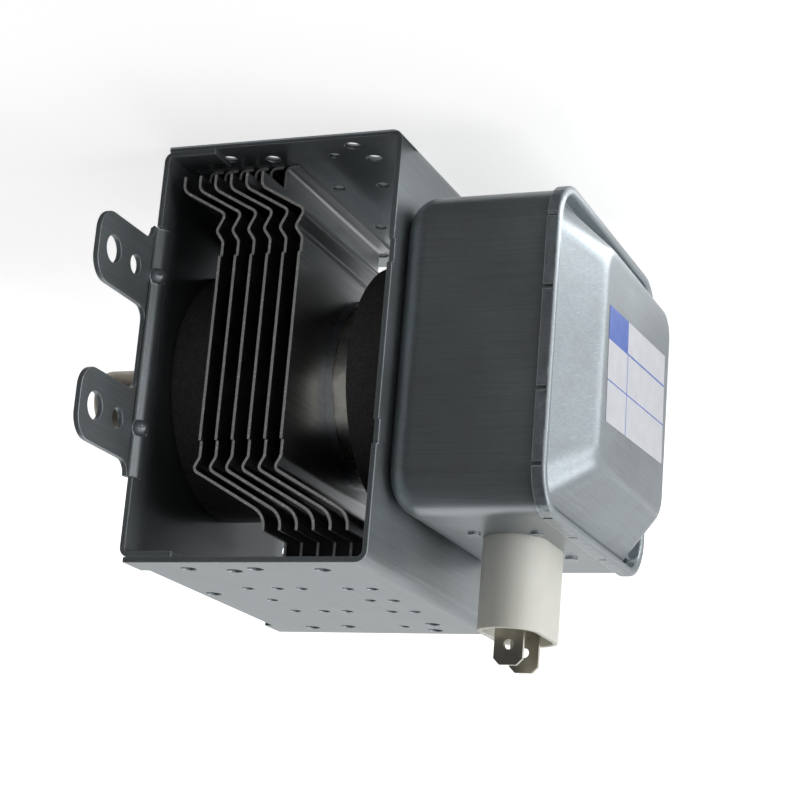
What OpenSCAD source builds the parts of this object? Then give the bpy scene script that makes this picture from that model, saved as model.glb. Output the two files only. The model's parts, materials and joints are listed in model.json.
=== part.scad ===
// Air-cooled microwave-oven magnetron, built as it comes apart on a bench: a folded yoke,
// two ferrite ring magnets, a finned vacuum tube with its anode vanes and cathode, and a
// closed filter box that holds two chokes and a feed-through capacitor.
// Millimetres. The tube axis is X: the antenna points to +X and the filter box to -X.
// Cooling air passes along Y. The connector points up, +Z.
// The origin is the centre of the ear holes, on the face that seats on the waveguide.

/* [Yoke] */
// Depth of the yoke along the air flow
yoke_d = 76.5; // [72:0.5:90]
// Height of the yoke over its two legs
yoke_h = 91; // [88:0.5:100]
// Thickness of the yoke sheet and of the mounting plate
sheet_t = 1.2; // [0.8:0.1:1.6]
// Outside radius of the two bends of the yoke
bend_r = 2.5; // [2:0.1:4]
// Distance from the plate's outer face to the ends of the legs' feet
leg_setback = 1; // [0.4:0.1:2]
// How far the edge of a leg is cut back between its feet
foot_cut = 2; // [0.5:0.1:3]
// Width of a foot at each end of a leg's edge
foot_w = 8; // [5:0.5:14]
// Diameter of the larger holes in the legs
leg_hole_d = 3.4; // [2:0.1:4]
// Diameter of the smaller holes in the legs
vent_hole_d = 2.6; // [1.5:0.1:3]
// Distance between the three rows of small holes
vent_row_pitch = 12.2; // [9:0.1:14]
// Height of a notch in the edges of the filter-side wall
notch_h = 5; // [3:0.5:8]
// Depth of that notch
notch_d = 0.8; // [0.4:0.1:1.5]
// Distance between the two notches of one edge
notch_pitch = 38; // [24:1:60]

/* [Mounting plate] */
// How far the ears stand out of the plate's face
ear_offset = 1.5; // [1:0.1:2.5]
// Length of the flanges that are folded inside the legs
flange_l = 12; // [8:0.5:14]
// Width of their long ends, at the corners of the plate
flange_tab = 8; // [5:0.5:11]
// Outside radius of the flange's fold
fold_r = 2; // [1.8:0.1:3]
// How far an ear reaches beyond the yoke
ear_reach = 21.7; // [20:0.1:26]
// Width of an ear
ear_w = 15.2; // [12:0.1:18]
// Radius at the corners of an ear's tip
ear_tip_r = 5; // [3:0.1:5.5]
// Radius at the root of an ear
ear_root_r = 3; // [1.5:0.1:4]
// Distance between the two ears of one side
ear_pitch = 33.4; // [30:0.1:36]
// Diameter of the outer ear holes
ear_hole_d = 5.8; // [4:0.1:7]
// Distance of the outer ear holes from the edge of the yoke
ear_hole_out = 15.6; // [13.6:0.1:17.1]
// Diameter of the inner ear holes
ear_small_hole_d = 4.3; // [3:0.1:5]
// Distance of the inner ear holes from the edge of the yoke
ear_small_hole_out = 6.3; // [5.8:0.1:7.8]
// How far inside the yoke's edge the bend of the ear strip starts
joggle_in = 2.5; // [2.2:0.1:4]
// Radius of the stiffening rib pressed into the step of an ear
rib_r = 1.7; // [1.3:0.1:2]
// Straight length of that rib
rib_l = 0.5; // [0.3:0.1:2.5]

/* [Magnets] */
// Outside diameter of a ring magnet
magnet_d = 55; // [50:0.5:60]
// Bore of a ring magnet
magnet_bore = 22; // [21:0.5:26]
// Thickness of a ring magnet
magnet_t = 12; // [9:0.1:14]
// Chamfer on the edges of a magnet
magnet_chamfer = 0.6; // [0.2:0.1:1.2]

/* [Cooling fins] */
// Distance from one fin to the next
fin_pitch = 3.66; // [3.2:0.01:3.8]
// Thickness of a fin
fin_t = 0.6; // [0.4:0.05:0.8]
// Gap between the first fin's kink and the antenna-side magnet
fin_gap = 0.3; // [0.2:0.1:1.5]
// Depth of the kink of a fin above the lower leg
fin_kick_low = 1.8; // [1:0.1:2.2]
// Depth of the kink of a fin under the upper leg
fin_kick_high = 1.4; // [0.8:0.1:1.8]
// How far a fin's edge lies inside the yoke's edge
fin_edge_gap = 1; // [0.8:0.1:6]
// How far a fin's middle stands out of the rest of its edge
fin_mid_step = 0.8; // [0.2:0.1:0.8]
// Gap between a fin's tips and the legs
fin_tip_gap = 5.5; // [5:0.1:8]
// Straight length of a fin's tips
fin_tab = 3.3; // [2:0.1:5]
// Shift of the lower tips towards the antenna
fin_low_shift = 10.6; // [6:0.1:11]
// Shift of the upper tips towards the filter box
fin_high_shift = 15.9; // [10:0.1:17]
// How far a fin's tips are cut back beside the tab that reaches the leg
fin_notch = 11; // [8:0.5:14]
// Radius of the bend above a fin's lower tip
fin_low_r = 2.4; // [1.2:0.1:3]
// Radius of the bend below a fin's upper tip
fin_high_r = 4.5; // [2:0.1:5]
// Radius of the other bends of a fin
fin_bend_r = 1.2; // [0.8:0.1:1.3]
// Length of the collar that grips the anode
fin_collar = 2; // [1:0.1:2.4]

/* [Tube] */
// Length of the anode, between the two magnets
anode_l = 28.6; // [26:0.1:34]
// Outside diameter of the anode
anode_d = 40; // [38:0.1:42]
// Inside diameter of the anode
anode_bore = 34.6; // [33:0.1:35]
// Number of anode vanes
vane_count = 10; // [8:2:12]
// Thickness of a vane
vane_t = 1.8; // [1.2:0.1:2.2]
// Length of a vane along the tube
vane_l = 9.6; // [8:0.1:11]
// Radius of the bore that the vanes' tips leave
vane_tip_r = 4.6; // [4.4:0.1:5.5]
// Height of a strap ring
strap_h = 1.2; // [0.8:0.1:1.6]
// Wall of a strap ring
strap_t = 0.9; // [0.6:0.1:1.1]
// Inside radius of the smaller strap ring
strap_r = 7.6; // [7:0.1:8.2]
// Thickness of a pole piece
pole_t = 1.6; // [1:0.1:2]
// Depth of a pole piece's funnel
pole_dip = 5; // [3:0.1:5.2]
// Radius of the hole in a pole piece
pole_hole_r = 4.8; // [4.4:0.1:5.2]
// Outside radius of the seal sleeves
seal_r = 9.5; // [9:0.1:10]
// Thickness of the seal sleeves
seal_t = 0.8; // [0.5:0.1:1]
// Length of the heated filament
filament_l = 9.4; // [8:0.1:10]
// Radius of the filament's coil
filament_r = 1.9; // [1.6:0.1:2.2]
// Number of turns of the filament
filament_turns = 8; // [5:1:9]
// Radius of the cathode's end hats
hat_r = 3.6; // [3.3:0.1:4]
// Thickness of an end hat
hat_t = 1.2; // [0.8:0.1:1.6]
// Radius of the cathode's leads
lead_r = 0.75; // [0.5:0.05:0.9]
// Length of the stem ceramic
stem_l = 10; // [8:0.5:12]
// How far the filter-side seal sleeve reaches into the filter box
stem_seat = 5; // [3:0.5:7]

/* [Antenna] */
// How far the antenna-side seal sleeve stands out of the mounting face
antenna_seat = 4; // [3:0.5:6]
// Length of the antenna ceramic
antenna_ceramic_l = 8.5; // [6:0.5:12]
// Radius of the antenna cap
cap_r = 7.5; // [7:0.1:8]
// Length of the antenna cap
cap_l = 15; // [12:0.5:18]
// Wall of the antenna cap
cap_t = 0.6; // [0.4:0.1:0.9]
// Outside radius of the mesh gasket
gasket_r = 15.5; // [14:0.1:18]
// Thickness of the mesh gasket
gasket_t = 4; // [3:0.1:6]

/* [Filter box] */
// Width of the case along the air flow
case_w = 70.2; // [66:0.1:76]
// Height of the case
case_h = 67.5; // [66:0.1:76]
// Depth of the case from the yoke to its edge
case_depth = 33.6; // [32:0.1:38]
// Thickness of the case's sheet
case_t = 0.6; // [0.4:0.1:0.8]
// Radius of the case's corners
case_r = 9; // [8:0.1:12]
// Radius between the case's floor and its walls
case_floor_r = 6; // [3:0.1:7]
// Thickness of the lid's sheet
lid_t = 0.6; // [0.4:0.1:0.8]
// Width of the lid's skirt
lid_skirt = 2.8; // [2:0.1:4]
// Depth of the lid's trough behind the rim
lid_trough = 3; // [2:0.1:4]
// How far the lid's panel stands out of the rim
panel_rise = 6.8; // [4:0.1:9]
// Distance of the lid's flat panel from the case's walls
panel_in = 11; // [9:0.1:14]
// Radius of the panel's corners
panel_r = 5; // [3:0.1:8]
// Rounding of the panel's edge
panel_edge_r = 2; // [1:0.1:3]
// Width of a slit in the lid's skirt
slit_w = 0.9; // [0.4:0.1:1.2]
// Distance of the inner slits from the middle of a side
slit_at = 10.4; // [6:0.1:16]

/* [Connector] */
// Distance of the connector's middle from the edge of the case
connector_at = 15; // [13.6:0.1:15.6]
// Outside radius of the sleeve's round ends
sleeve_r = 6.8; // [6.2:0.1:7.2]
// Wall of the sleeve
sleeve_t = 1.2; // [0.8:0.1:2]
// How far the sleeve stands out of the case
sleeve_out = 19.3; // [15:0.1:24]
// Distance between the two blades
blade_pitch = 10; // [9.4:0.1:11]
// Width of a blade
blade_w = 6.35; // [4.8:0.05:6.35]
// Thickness of a blade
blade_t = 0.8; // [0.5:0.1:0.8]
// How far a blade stands out of the sleeve
blade_out = 6.5; // [5:0.1:10]
// Diameter of the hole in a blade
blade_hole_d = 2; // [1.4:0.1:2.2]
// Distance of that hole from the blade's end
blade_hole_in = 4.2; // [3:0.1:5]
// Length of the capacitor's body inside the case
capacitor_l = 14; // [10:0.5:16]
// Thickness of the capacitor's flange
flange_t = 0.8; // [0.5:0.1:1.2]
// Radius of a rivet's shank
rivet_r = 0.8; // [0.5:0.1:1]

/* [Chokes] */
// Radius of the choke wire
wire_r = 0.7; // [0.5:0.05:0.8]
// Radius of a choke coil to the middle of its wire
coil_r = 4.6; // [4:0.1:5]
// Length of a choke coil
coil_l = 24; // [18:0.5:26]
// Number of turns of a choke coil
coil_turns = 11; // [6:1:14]
// Distance of a choke from the middle of the case
coil_y = 19; // [18:0.5:22]

/* [Hidden] */
$fn = 64;
// Cut pieces reach this far past the faces that they cut
over = 1;
// Clearance of round seats that are pressed or brazed together
fit_gap = 0.05;
// Clearance of the lid's folds around the case's edge
lid_gap = 0.1;
// Clearance around pieces that pass through a sheet
pass_gap = 0.6;

// Places along the tube, from the mounting face towards the filter box
z_plate_out = ear_offset;
z_plate_in = z_plate_out + sheet_t;
z_anode_a = z_plate_in + magnet_t;
z_anode_k = z_anode_a + anode_l;
z_mid = (z_anode_a + z_anode_k) / 2;
z_wall_in = z_anode_k + magnet_t;
z_wall_out = z_wall_in + sheet_t;
z_leg_end = z_plate_out + leg_setback;

// Mounting plate
y_edge = yoke_d / 2;
plate_h = yoke_h - 2 * sheet_t;
strip_h = ear_pitch + ear_w + 2 * ear_root_r;
y_joggle = y_edge - joggle_in;
// Length of a flange between its long ends, which covers the cut-back edge of the leg
flange_cover = 0.8;
flange_mid = leg_setback + foot_cut + flange_cover;
// Bend of the ear strip: radius, length of its straight run-in, and the strip's middle line
joggle_r = 1.4 * ear_offset;
joggle_run = joggle_r * tan(22.5);
joggle_path = [
    [-y_joggle + joggle_run + over, z_plate_out + sheet_t / 2],
    [-y_joggle, z_plate_out + sheet_t / 2],
    [-y_joggle - ear_offset, sheet_t / 2],
    [-y_edge - ear_reach - over, sheet_t / 2]
];

// Hole places in a leg: distance from the leg's middle along the tube, then along the air flow
z_leg_mid = (z_plate_out + z_wall_out) / 2;
leg_holes_front = [[-14.5, -32], [-5, -30], [0.5, -31.8], [15, -31], [-21.5, -6.4]];
leg_holes_back = [[-15, 32], [-5.5, 30.4], [14.5, 34], [16.5, 26.7]];
vent_columns = [-10.5, -3.5, 2, 12.5, 18];
vent_single = [8.5, 29.7];
// Columns that the middle row leaves out
vent_gap_columns = [1, 2];

// Fins: the outline's corners follow the anode and the legs
anode_r = anode_d / 2;
fin_tip = yoke_h / 2 - sheet_t - fin_tip_gap;
fin_d = yoke_d - 2 * fin_edge_gap;
// A fin's tabs end in feet that lie on the legs, each short of the next fin
x_foot = yoke_h / 2 - sheet_t - fin_t / 2;
foot_gap = 0.4;
fin_foot = fin_pitch - fin_t / 2 - foot_gap;
// Start, bottom and end of a fin's kink, counted from the anode
kink_start = 3.4;
kink_bottom = 5.9;
kink_end = 9.6;
fin_path = [
    [-x_foot, fin_foot - fin_low_shift],
    [-x_foot, -fin_low_shift],
    [-fin_tip + fin_tab, -fin_low_shift],
    [-anode_r - kink_end, 0],
    [-anode_r - kink_bottom, -fin_kick_low],
    [-anode_r - kink_start, 0],
    [anode_r + kink_start, 0],
    [anode_r + kink_bottom, -fin_kick_high],
    [fin_tip - fin_tab, fin_high_shift],
    [x_foot, fin_high_shift],
    [x_foot, fin_high_shift - fin_foot]
];
fin_radii = [
    fin_bend_r,
    fin_low_r,
    for (i = [1 : 5]) fin_bend_r,
    fin_high_r,
    fin_bend_r
];

// Tube
anode_bore_r = anode_bore / 2;
seat_r = (anode_r + anode_bore_r) / 2;
z_seal_a = z_anode_a + seal_t;
z_pole_a = z_seal_a + pole_t;
// Width of a pole piece's flat rim inside the anode, and of the lip around its hole
pole_rim = 2.5;
pole_lip = 1.7;
pole_flat_r = anode_bore_r - pole_rim;
pole_tip_r = pole_hole_r + pole_lip;
strap_gap = 0.25;
strap_step = strap_t + 3 * strap_gap;
strap_relief = 0.6;
filament_wire_r = 0.3;
hat_at = filament_l / 2 + filament_wire_r;
hat_edge = 0.3;
side_lead_y = hat_r - lead_r - hat_edge;
z_stem = z_wall_out + stem_seat;
z_stem_end = z_stem + stem_l;
terminal_t = 0.8;
terminal_w = 3;
terminal_over = 0.5;
terminal_y = seal_r + terminal_over;
terminal_gap = 0.6;

// Antenna, counted from the mounting face outwards
z_ceramic = -antenna_seat;
z_cap_seat = z_ceramic - antenna_ceramic_l;
disc_t = 0.8;
tube_r = 3.4;
tube_t = 0.7;
tube_l = 9;
z_cap = z_cap_seat - disc_t;
antenna_lead_r = 1;
antenna_bend_r = 3;
// Corners of the antenna lead: distance from the tube's axis, then place along it
antenna_foot = 1.5;
antenna_neck = 2;
antenna_foot_r = strap_r + strap_step + strap_t + antenna_neck;
z_antenna_foot = z_mid - vane_l / 2;
antenna_lead_path = [
    [antenna_foot_r, z_antenna_foot],
    [antenna_foot_r, z_antenna_foot - antenna_foot],
    [pole_tip_r, z_anode_a + antenna_foot],
    [pole_tip_r, z_anode_a - antenna_neck],
    [0, z_ceramic],
    [0, z_cap - tube_l + antenna_neck]
];
pole_slot_r = 1.8;

// Filter box
case_x = case_h / 2 - case_r;
case_y = case_w / 2 - case_r;
z_edge = z_wall_out + case_depth;
z_rim = z_edge + lid_gap + lid_t;
// The lid's sheet: its trough, the foot of its slopes and the inside radius of its folds
trough_w = 1;
trough_out = case_t + lid_gap + lid_t / 2;
lid_foot = trough_out + lid_t / 2 + trough_w;
fold_in_r = 0.12;
lid_fold_r = fold_in_r + lid_t / 2;
skirt_out = -lid_gap - lid_t / 2;
// Corners of the lid's section: distance inwards from the case's wall, then place along the tube
lid_path = [
    [panel_in + panel_edge_r, z_rim + panel_rise - lid_t / 2],
    [panel_in, z_rim + panel_rise - lid_t / 2],
    [lid_foot, z_edge - lid_trough + lid_t / 2],
    [trough_out, z_edge - lid_trough + lid_t / 2],
    [trough_out, z_rim - lid_t / 2],
    [skirt_out, z_rim - lid_t / 2],
    [skirt_out, z_rim - lid_skirt]
];
lid_radii = [panel_edge_r, lid_fold_r, lid_fold_r, lid_fold_r, lid_fold_r];
x_wall = case_h / 2;
x_wall_in = x_wall - case_t;
z_connector = z_edge - connector_at;

// Connector and capacitor
sleeve_floor = 2.5;
x_sleeve_floor = x_wall_in + sleeve_floor;
x_sleeve_end = x_wall + sleeve_out;
x_blade_end = x_sleeve_end + blade_out;
blade_chamfer = 1.3;
stud_r = 1;
stud_out = 1;
x_flange_in = x_wall_in - flange_t;
x_body_end = x_flange_in - capacitor_l;
x_stud_end = x_body_end - stud_out;
body_over = 0.5;
body_r = sleeve_r + body_over;
// Gap between a rivet's middle and the sleeve, and between it and the flange's edge
rivet_gap = 2.7;
rivet_edge = 2.6;
rivet_z = (sleeve_r + rivet_gap) * sin(45);
rivet_y = blade_pitch / 2 + (sleeve_r + rivet_gap) * cos(45);
rivet_head_r = 1.3;
rivet_head_t = 0.5;
flange_w = 2 * (rivet_z + rivet_edge);
flange_h = 2 * (rivet_y + rivet_edge);

// Chokes
coil_z = z_stem_end;
coil_top = 2.4;
coil_low = coil_top - coil_l;
core_gap = 0.3;
core_r = coil_r - wire_r - core_gap;
core_over = 1;
// Straight ends of a choke's wire, and how far its bends swing out
wire_stub = 1.2;
wire_swing = 6;

// Fineness of bends, of drawn edges and of wires
bend_steps = 5;
corner_steps = 8;
nose_steps = 6;
lead_steps = 10;
turn_steps = 12;
thin_sides = 6;
wire_sides = 8;
rod_sides = 16;
// A direction that no wire starts along
wire_seed = [0.31, 0.83, 0.46];

// Colours
galvanised = [0.60, 0.64, 0.66];
aluminium = [0.74, 0.75, 0.76];
ferrite = [0.10, 0.10, 0.11];
copper = [0.72, 0.45, 0.30];
nickel = [0.66, 0.64, 0.60];
ceramic = [0.90, 0.88, 0.84];
cream = [0.93, 0.92, 0.87];
tungsten = [0.35, 0.35, 0.37];
mesh = [0.55, 0.54, 0.50];
tinned = [0.62, 0.61, 0.57];

// Vectors
function unit(v) = v / norm(v);

// Points of an arc about a centre
function arc(centre, r, from, to, steps) = [
    for (i = [0 : steps])
        let (a = from + (to - from) * i / steps)
        centre + r * [cos(a), sin(a)]
];

// One corner of a flat path, turned into points along a bend of radius r
function bend_points(before, corner, after, r) =
    let (u = unit(before - corner))
    let (v = unit(after - corner))
    let (half = acos(u * v) / 2)
    let (centre = corner + unit(u + v) * r / sin(half))
    let (start = corner + u * r / tan(half) - centre)
    let (turn = 180 - 2 * half)
    let (sense = sign(u[1] * v[0] - u[0] * v[1]))
    let (from = atan2(start[1], start[0]))
    arc(centre, r, from, from + sense * turn, bend_steps);

// A flat path with a bend at each inner corner, of the radius that the list gives
function bent_path(p, radii) = concat(
    [p[0]],
    [for (i = [1 : len(p) - 2]) each bend_points(p[i - 1], p[i], p[i + 1], radii[i - 1])],
    [p[len(p) - 1]]
);

// A list that gives every inner corner of a path the same radius
function same_radii(p, r) = [for (i = [1 : len(p) - 2]) r];

// One edge of a strip that follows a flat path at a distance d
function path_edge(p, d) = [
    for (i = [0 : len(p) - 1])
        let (a = p[max(i - 1, 0)])
        let (b = p[min(i + 1, len(p) - 1)])
        let (t = unit(b - a))
        p[i] + d * [-t[1], t[0]]
];

// The closed outline of a strip of thickness t along a flat path
function strip_outline(p, t) =
    let (left = path_edge(p, t / 2))
    let (right = path_edge(p, -t / 2))
    concat(left, [for (i = [len(right) - 1 : -1 : 0]) right[i]]);

// Points of a curve that leaves p0 towards p1 and reaches p3 from p2
function curve(p0, p1, p2, p3, steps) = [
    for (i = [0 : steps])
        let (t = i / steps)
        pow(1 - t, 3) * p0 + 3 * t * pow(1 - t, 2) * p1 + 3 * t * t * (1 - t) * p2 + pow(t, 3) * p3
];

// All points of a list but the last
function without_last(p) = [for (i = [0 : len(p) - 2]) p[i]];

// A closed shape through a row of rings that all have as many points
module loft(rings) {
    sides = len(rings[0]);
    last = len(rings) - 1;
    walls = [
        for (i = [0 : last - 1])
            for (k = [0 : sides - 1])
                let (a = i * sides + k)
                let (b = i * sides + (k + 1) % sides)
                each [[a, a + sides, b], [b, a + sides, b + sides]]
    ];
    start_face = [for (k = [0 : sides - 1]) k];
    end_face = [for (k = [sides - 1 : -1 : 0]) last * sides + k];
    polyhedron([for (ring = rings) each ring], concat(walls, [start_face, end_face]), convexity = 8);
}

// A closed round wire along a path of points
module wire(path, r, sides) {
    last = len(path) - 1;
    tangents = [for (i = [0 : last]) unit(path[min(i + 1, last)] - path[max(i - 1, 0)])];
    seed = unit(cross(tangents[0], wire_seed));
    normals = [
        for (i = 0, n = seed; i <= last;
            i = i + 1, n = i <= last ? unit(n - (n * tangents[i]) * tangents[i]) : n) n
    ];
    loft([
        for (i = [0 : last])
            let (side = cross(tangents[i], normals[i]))
            [for (k = [0 : sides - 1])
                path[i] + r * (cos(360 * k / sides) * normals[i] + sin(360 * k / sides) * side)]
    ]);
}

// The shapes below are drawn about the tube axis: z runs from the mounting face towards the
// filter box, x is up and y follows the air. This turns them into the part's own frame.
module tube_frame() {
    rotate([0, -90, 0])
        children();
}

// A profile in x and z, drawn out along y
module along_y(length) {
    rotate([90, 0, 0])
        linear_extrude(length, center = true)
            children();
}

// A profile in y and z, drawn out along x
module along_x(length) {
    rotate([90, 0, 90])
        linear_extrude(length, center = true)
            children();
}

// Places a shape at the other end of the tube
module filter_end() {
    translate([0, 0, 2 * z_mid])
        mirror([0, 0, 1])
            children();
}

// A rectangle of a turned profile, between two radii and two places along the axis
module turned(r_in, r_out, z0, z1) {
    translate([r_in, z0])
        square([r_out - r_in, z1 - z0]);
}

// A folded channel seen from its end: closed at z1 with two rounded corners
module channel_section(h, r, z0, z1) {
    translate([-h / 2, z0])
        square([h, z1 - r - z0]);
    translate([-h / 2 + r, z0])
        square([h - 2 * r, z1 - z0]);
    for (s = [-1, 1])
        translate([s * (h / 2 - r), z1 - r])
            circle(r);
}

// A hole through the upper leg
module leg_hole(place, d) {
    translate([yoke_h / 2 - sheet_t / 2, place[1], z_leg_mid + place[0]])
        rotate([0, 90, 0])
            cylinder(h = 3 * sheet_t, d = d, center = true, $fn = 32);
}

// All holes of the upper leg
module leg_hole_pattern() {
    for (place = concat(leg_holes_front, leg_holes_back))
        leg_hole(place, leg_hole_d);
    for (row = [-1 : 1])
        for (i = [0 : len(vent_columns) - 1])
            if (row != 0 || len(search(i, vent_gap_columns)) == 0)
                leg_hole([vent_columns[i], row * vent_row_pitch], vent_hole_d);
    leg_hole(vent_single, vent_hole_d);
}

// The folded steel channel: two perforated legs and the wall that carries the filter box
module yoke_channel() {
    color(galvanised)
        tube_frame()
            difference() {
                along_y(yoke_d)
                    difference() {
                        channel_section(yoke_h, bend_r, z_leg_end, z_wall_out);
                        channel_section(plate_h, bend_r - sheet_t, z_leg_end - over, z_wall_in);
                    }
                translate([0, 0, z_wall_in - over])
                    cylinder(h = sheet_t + 2 * over, r = seal_r + pass_gap);
                for (turn = [0, 180])
                    rotate([0, 0, turn]) {
                        leg_hole_pattern();
                        translate([plate_h / 2 - over, -y_edge + foot_w, z_leg_end - over])
                            cube([sheet_t + 2 * over, yoke_d - 2 * foot_w, foot_cut + over]);
                    }
                for (side = [-1, 1])
                    for (level = [-1, 1])
                        translate([level * notch_pitch / 2, side * y_edge, z_wall_in + sheet_t / 2])
                            cube([notch_h, 2 * notch_d, 3 * sheet_t], center = true);
            }
}

// Outline of the ear strip of the front side, seen along the tube
module ear_outline() {
    translate([-strip_h / 2, -y_edge])
        square([strip_h, joggle_in + joggle_run + over]);
    for (s = [-1, 1])
        translate([s * ear_pitch / 2, -y_edge]) {
            translate([-ear_w / 2, -ear_reach + ear_tip_r])
                square([ear_w, ear_reach - ear_tip_r + joggle_in]);
            translate([-ear_w / 2 + ear_tip_r, -ear_reach])
                square([ear_w - 2 * ear_tip_r, ear_reach]);
            for (k = [-1, 1]) {
                translate([k * (ear_w / 2 - ear_tip_r), -ear_reach + ear_tip_r])
                    circle(ear_tip_r);
                difference() {
                    translate([k * (ear_w + ear_root_r) / 2, -ear_root_r / 2])
                        square(ear_root_r, center = true);
                    translate([k * (ear_w / 2 + ear_root_r), -ear_root_r])
                        circle(ear_root_r);
                }
            }
        }
}

// The ear strip of the front side: a sheet that steps out to the mounting face
module ear_strip() {
    intersection() {
        along_x(strip_h + 2 * over)
            polygon(strip_outline(bent_path(joggle_path, same_radii(joggle_path, joggle_r)), sheet_t));
        translate([0, 0, -over])
            linear_extrude(z_plate_in + 2 * over)
                ear_outline();
    }
}

// A round rib pressed across the step of the ear strip, square to the step's slope
module ear_rib() {
    reach = rib_l / 2 + rib_r;
    sunk_share = 0.58;
    translate([0, -y_joggle - ear_offset / 2, sheet_t + ear_offset / 2])
        rotate([45, 0, 0])
            intersection() {
                union() {
                    rotate([-90, 0, 0])
                        cylinder(h = rib_l, r = rib_r, center = true, $fn = 32);
                    for (k = [-1, 1])
                        translate([0, k * rib_l / 2, 0])
                            sphere(rib_r, $fn = 32);
                }
                translate([-rib_r, -reach, -sunk_share * sheet_t])
                    cube([2 * rib_r, 2 * reach, 2 * rib_r]);
            }
}

// The plate that seats on the waveguide: folded inside the yoke's legs, with four ears
module mounting_plate() {
    color(galvanised)
        tube_frame()
            difference() {
                union() {
                    difference() {
                        along_y(yoke_d)
                            mirror([0, 1])
                                difference() {
                                    channel_section(plate_h, fold_r, -z_plate_out - flange_l, -z_plate_out);
                                    channel_section(plate_h - 2 * sheet_t, fold_r - sheet_t,
                                        -z_plate_out - flange_l - over, -z_plate_in);
                                }
                        for (side = [-1, 1])
                            translate([0, side * y_edge, z_plate_out])
                                cube([strip_h, 2 * (joggle_in + joggle_run), 4 * sheet_t], center = true);
                        for (side = [-1, 1])
                            translate([side * plate_h / 2, 0, z_plate_out + flange_mid + flange_l])
                                cube([2 * fold_r, yoke_d - 2 * flange_tab, 2 * flange_l], center = true);
                    }
                    for (turn = [0, 180])
                        rotate([0, 0, turn]) {
                            ear_strip();
                            for (s = [-1, 1])
                                translate([s * ear_pitch / 2, 0, 0])
                                    ear_rib();
                        }
                }
                translate([0, 0, -over])
                    cylinder(h = z_plate_in + 2 * over, r = seal_r + pass_gap);
                for (side = [-1, 1])
                    for (s = [-1, 1]) {
                        translate([s * ear_pitch / 2, side * (y_edge + ear_hole_out), -over])
                            cylinder(h = sheet_t + 2 * over, d = ear_hole_d);
                        translate([s * ear_pitch / 2, side * (y_edge + ear_small_hole_out), -over])
                            cylinder(h = sheet_t + 2 * over, d = ear_small_hole_d);
                    }
            }
}

// A ferrite ring with chamfered edges, from z0 towards the filter box
module ring_magnet(z0) {
    c = magnet_chamfer;
    r_in = magnet_bore / 2;
    r_out = magnet_d / 2;
    translate([0, 0, z0])
        rotate_extrude($fn = 96)
            polygon([
                [r_in, 0], [r_out - c, 0], [r_out, c], [r_out, magnet_t - c],
                [r_out - c, magnet_t], [r_in, magnet_t]
            ]);
}

// The magnet behind the mounting plate
module magnet_antenna_side() {
    color(ferrite)
        tube_frame()
            ring_magnet(z_plate_in);
}

// The magnet behind the filter-side wall
module magnet_filter_side() {
    color(ferrite)
        tube_frame()
            ring_magnet(z_anode_k);
}

// One bent aluminium fin with the collar that grips the anode
module fin(i) {
    z_fin = z_anode_a + fin_gap + fin_t / 2 + fin_kick_low + i * fin_pitch;
    color(aluminium)
        tube_frame()
            translate([0, 0, z_fin])
                difference() {
                    union() {
                        along_y(fin_d)
                            polygon(strip_outline(bent_path(fin_path, fin_radii), fin_t));
                        cube([2 * anode_r, fin_d + 2 * fin_mid_step, fin_t], center = true);
                        cylinder(h = fin_collar, r = anode_r + fit_gap + fin_t);
                    }
                    translate([0, 0, -over])
                        cylinder(h = fin_collar + 2 * over, r = anode_r + fit_gap);
                    for (s = [-1, 1])
                        for (side = [-1, 1])
                            translate([s * (fin_tip + fin_tip_gap), side * fin_d / 2, 0])
                                cube([2 * fin_tip_gap, 2 * fin_notch, 4 * fin_high_shift], center = true);
                }
}

// The copper anode, with a seat at each end for the pole piece and the seal sleeve
module anode_cylinder() {
    seat = seal_t + pole_t;
    color(copper)
        tube_frame()
            translate([0, 0, z_anode_a])
                rotate_extrude($fn = 96)
                    polygon([
                        [seat_r, 0], [anode_r, 0], [anode_r, anode_l], [seat_r, anode_l],
                        [seat_r, anode_l - seat], [anode_bore_r, anode_l - seat],
                        [anode_bore_r, seat], [seat_r, seat]
                    ]);
}

// The groove of one strap ring, cut into the end of the vanes
module strap_groove(r, depth) {
    rotate_extrude()
        turned(r - strap_gap, r + strap_t + strap_gap, vane_l / 2 - depth, vane_l / 2 + over);
}

// One radial vane; alternate vanes touch alternate strap rings
module vane(i) {
    odd = i % 2;
    difference() {
        intersection() {
            rotate([0, 0, 360 * i / vane_count])
                translate([vane_tip_r, -vane_t / 2, -vane_l / 2])
                    cube([anode_bore_r, vane_t, vane_l]);
            cylinder(h = 2 * vane_l, r = anode_bore_r - fit_gap, center = true);
        }
        for (end = [0, 1])
            mirror([0, 0, end]) {
                strap_groove(strap_r, strap_h + strap_relief * (odd == end ? 0 : 1));
                strap_groove(strap_r + strap_step, strap_h + strap_relief * (odd == end ? 1 : 0));
            }
    }
}

// The ring of vanes, each brazed to the anode at its outer end
module anode_vanes() {
    color(copper)
        tube_frame()
            translate([0, 0, z_mid])
                for (i = [0 : vane_count - 1])
                    vane(i);
}

// A strap ring in its groove, at the antenna's end of the vanes
module strap_ring(r) {
    z_top = z_mid - vane_l / 2;
    rotate_extrude()
        turned(r, r + strap_t, z_top, z_top + strap_h);
}

// The four strap rings that join alternate vanes
module strap_small_antenna_side() {
    color(copper)
        tube_frame()
            strap_ring(strap_r);
}

module strap_large_antenna_side() {
    color(copper)
        tube_frame()
            strap_ring(strap_r + strap_step);
}

module strap_small_filter_side() {
    color(copper)
        tube_frame()
            filter_end()
                strap_ring(strap_r);
}

module strap_large_filter_side() {
    color(copper)
        tube_frame()
            filter_end()
                strap_ring(strap_r + strap_step);
}

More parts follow.
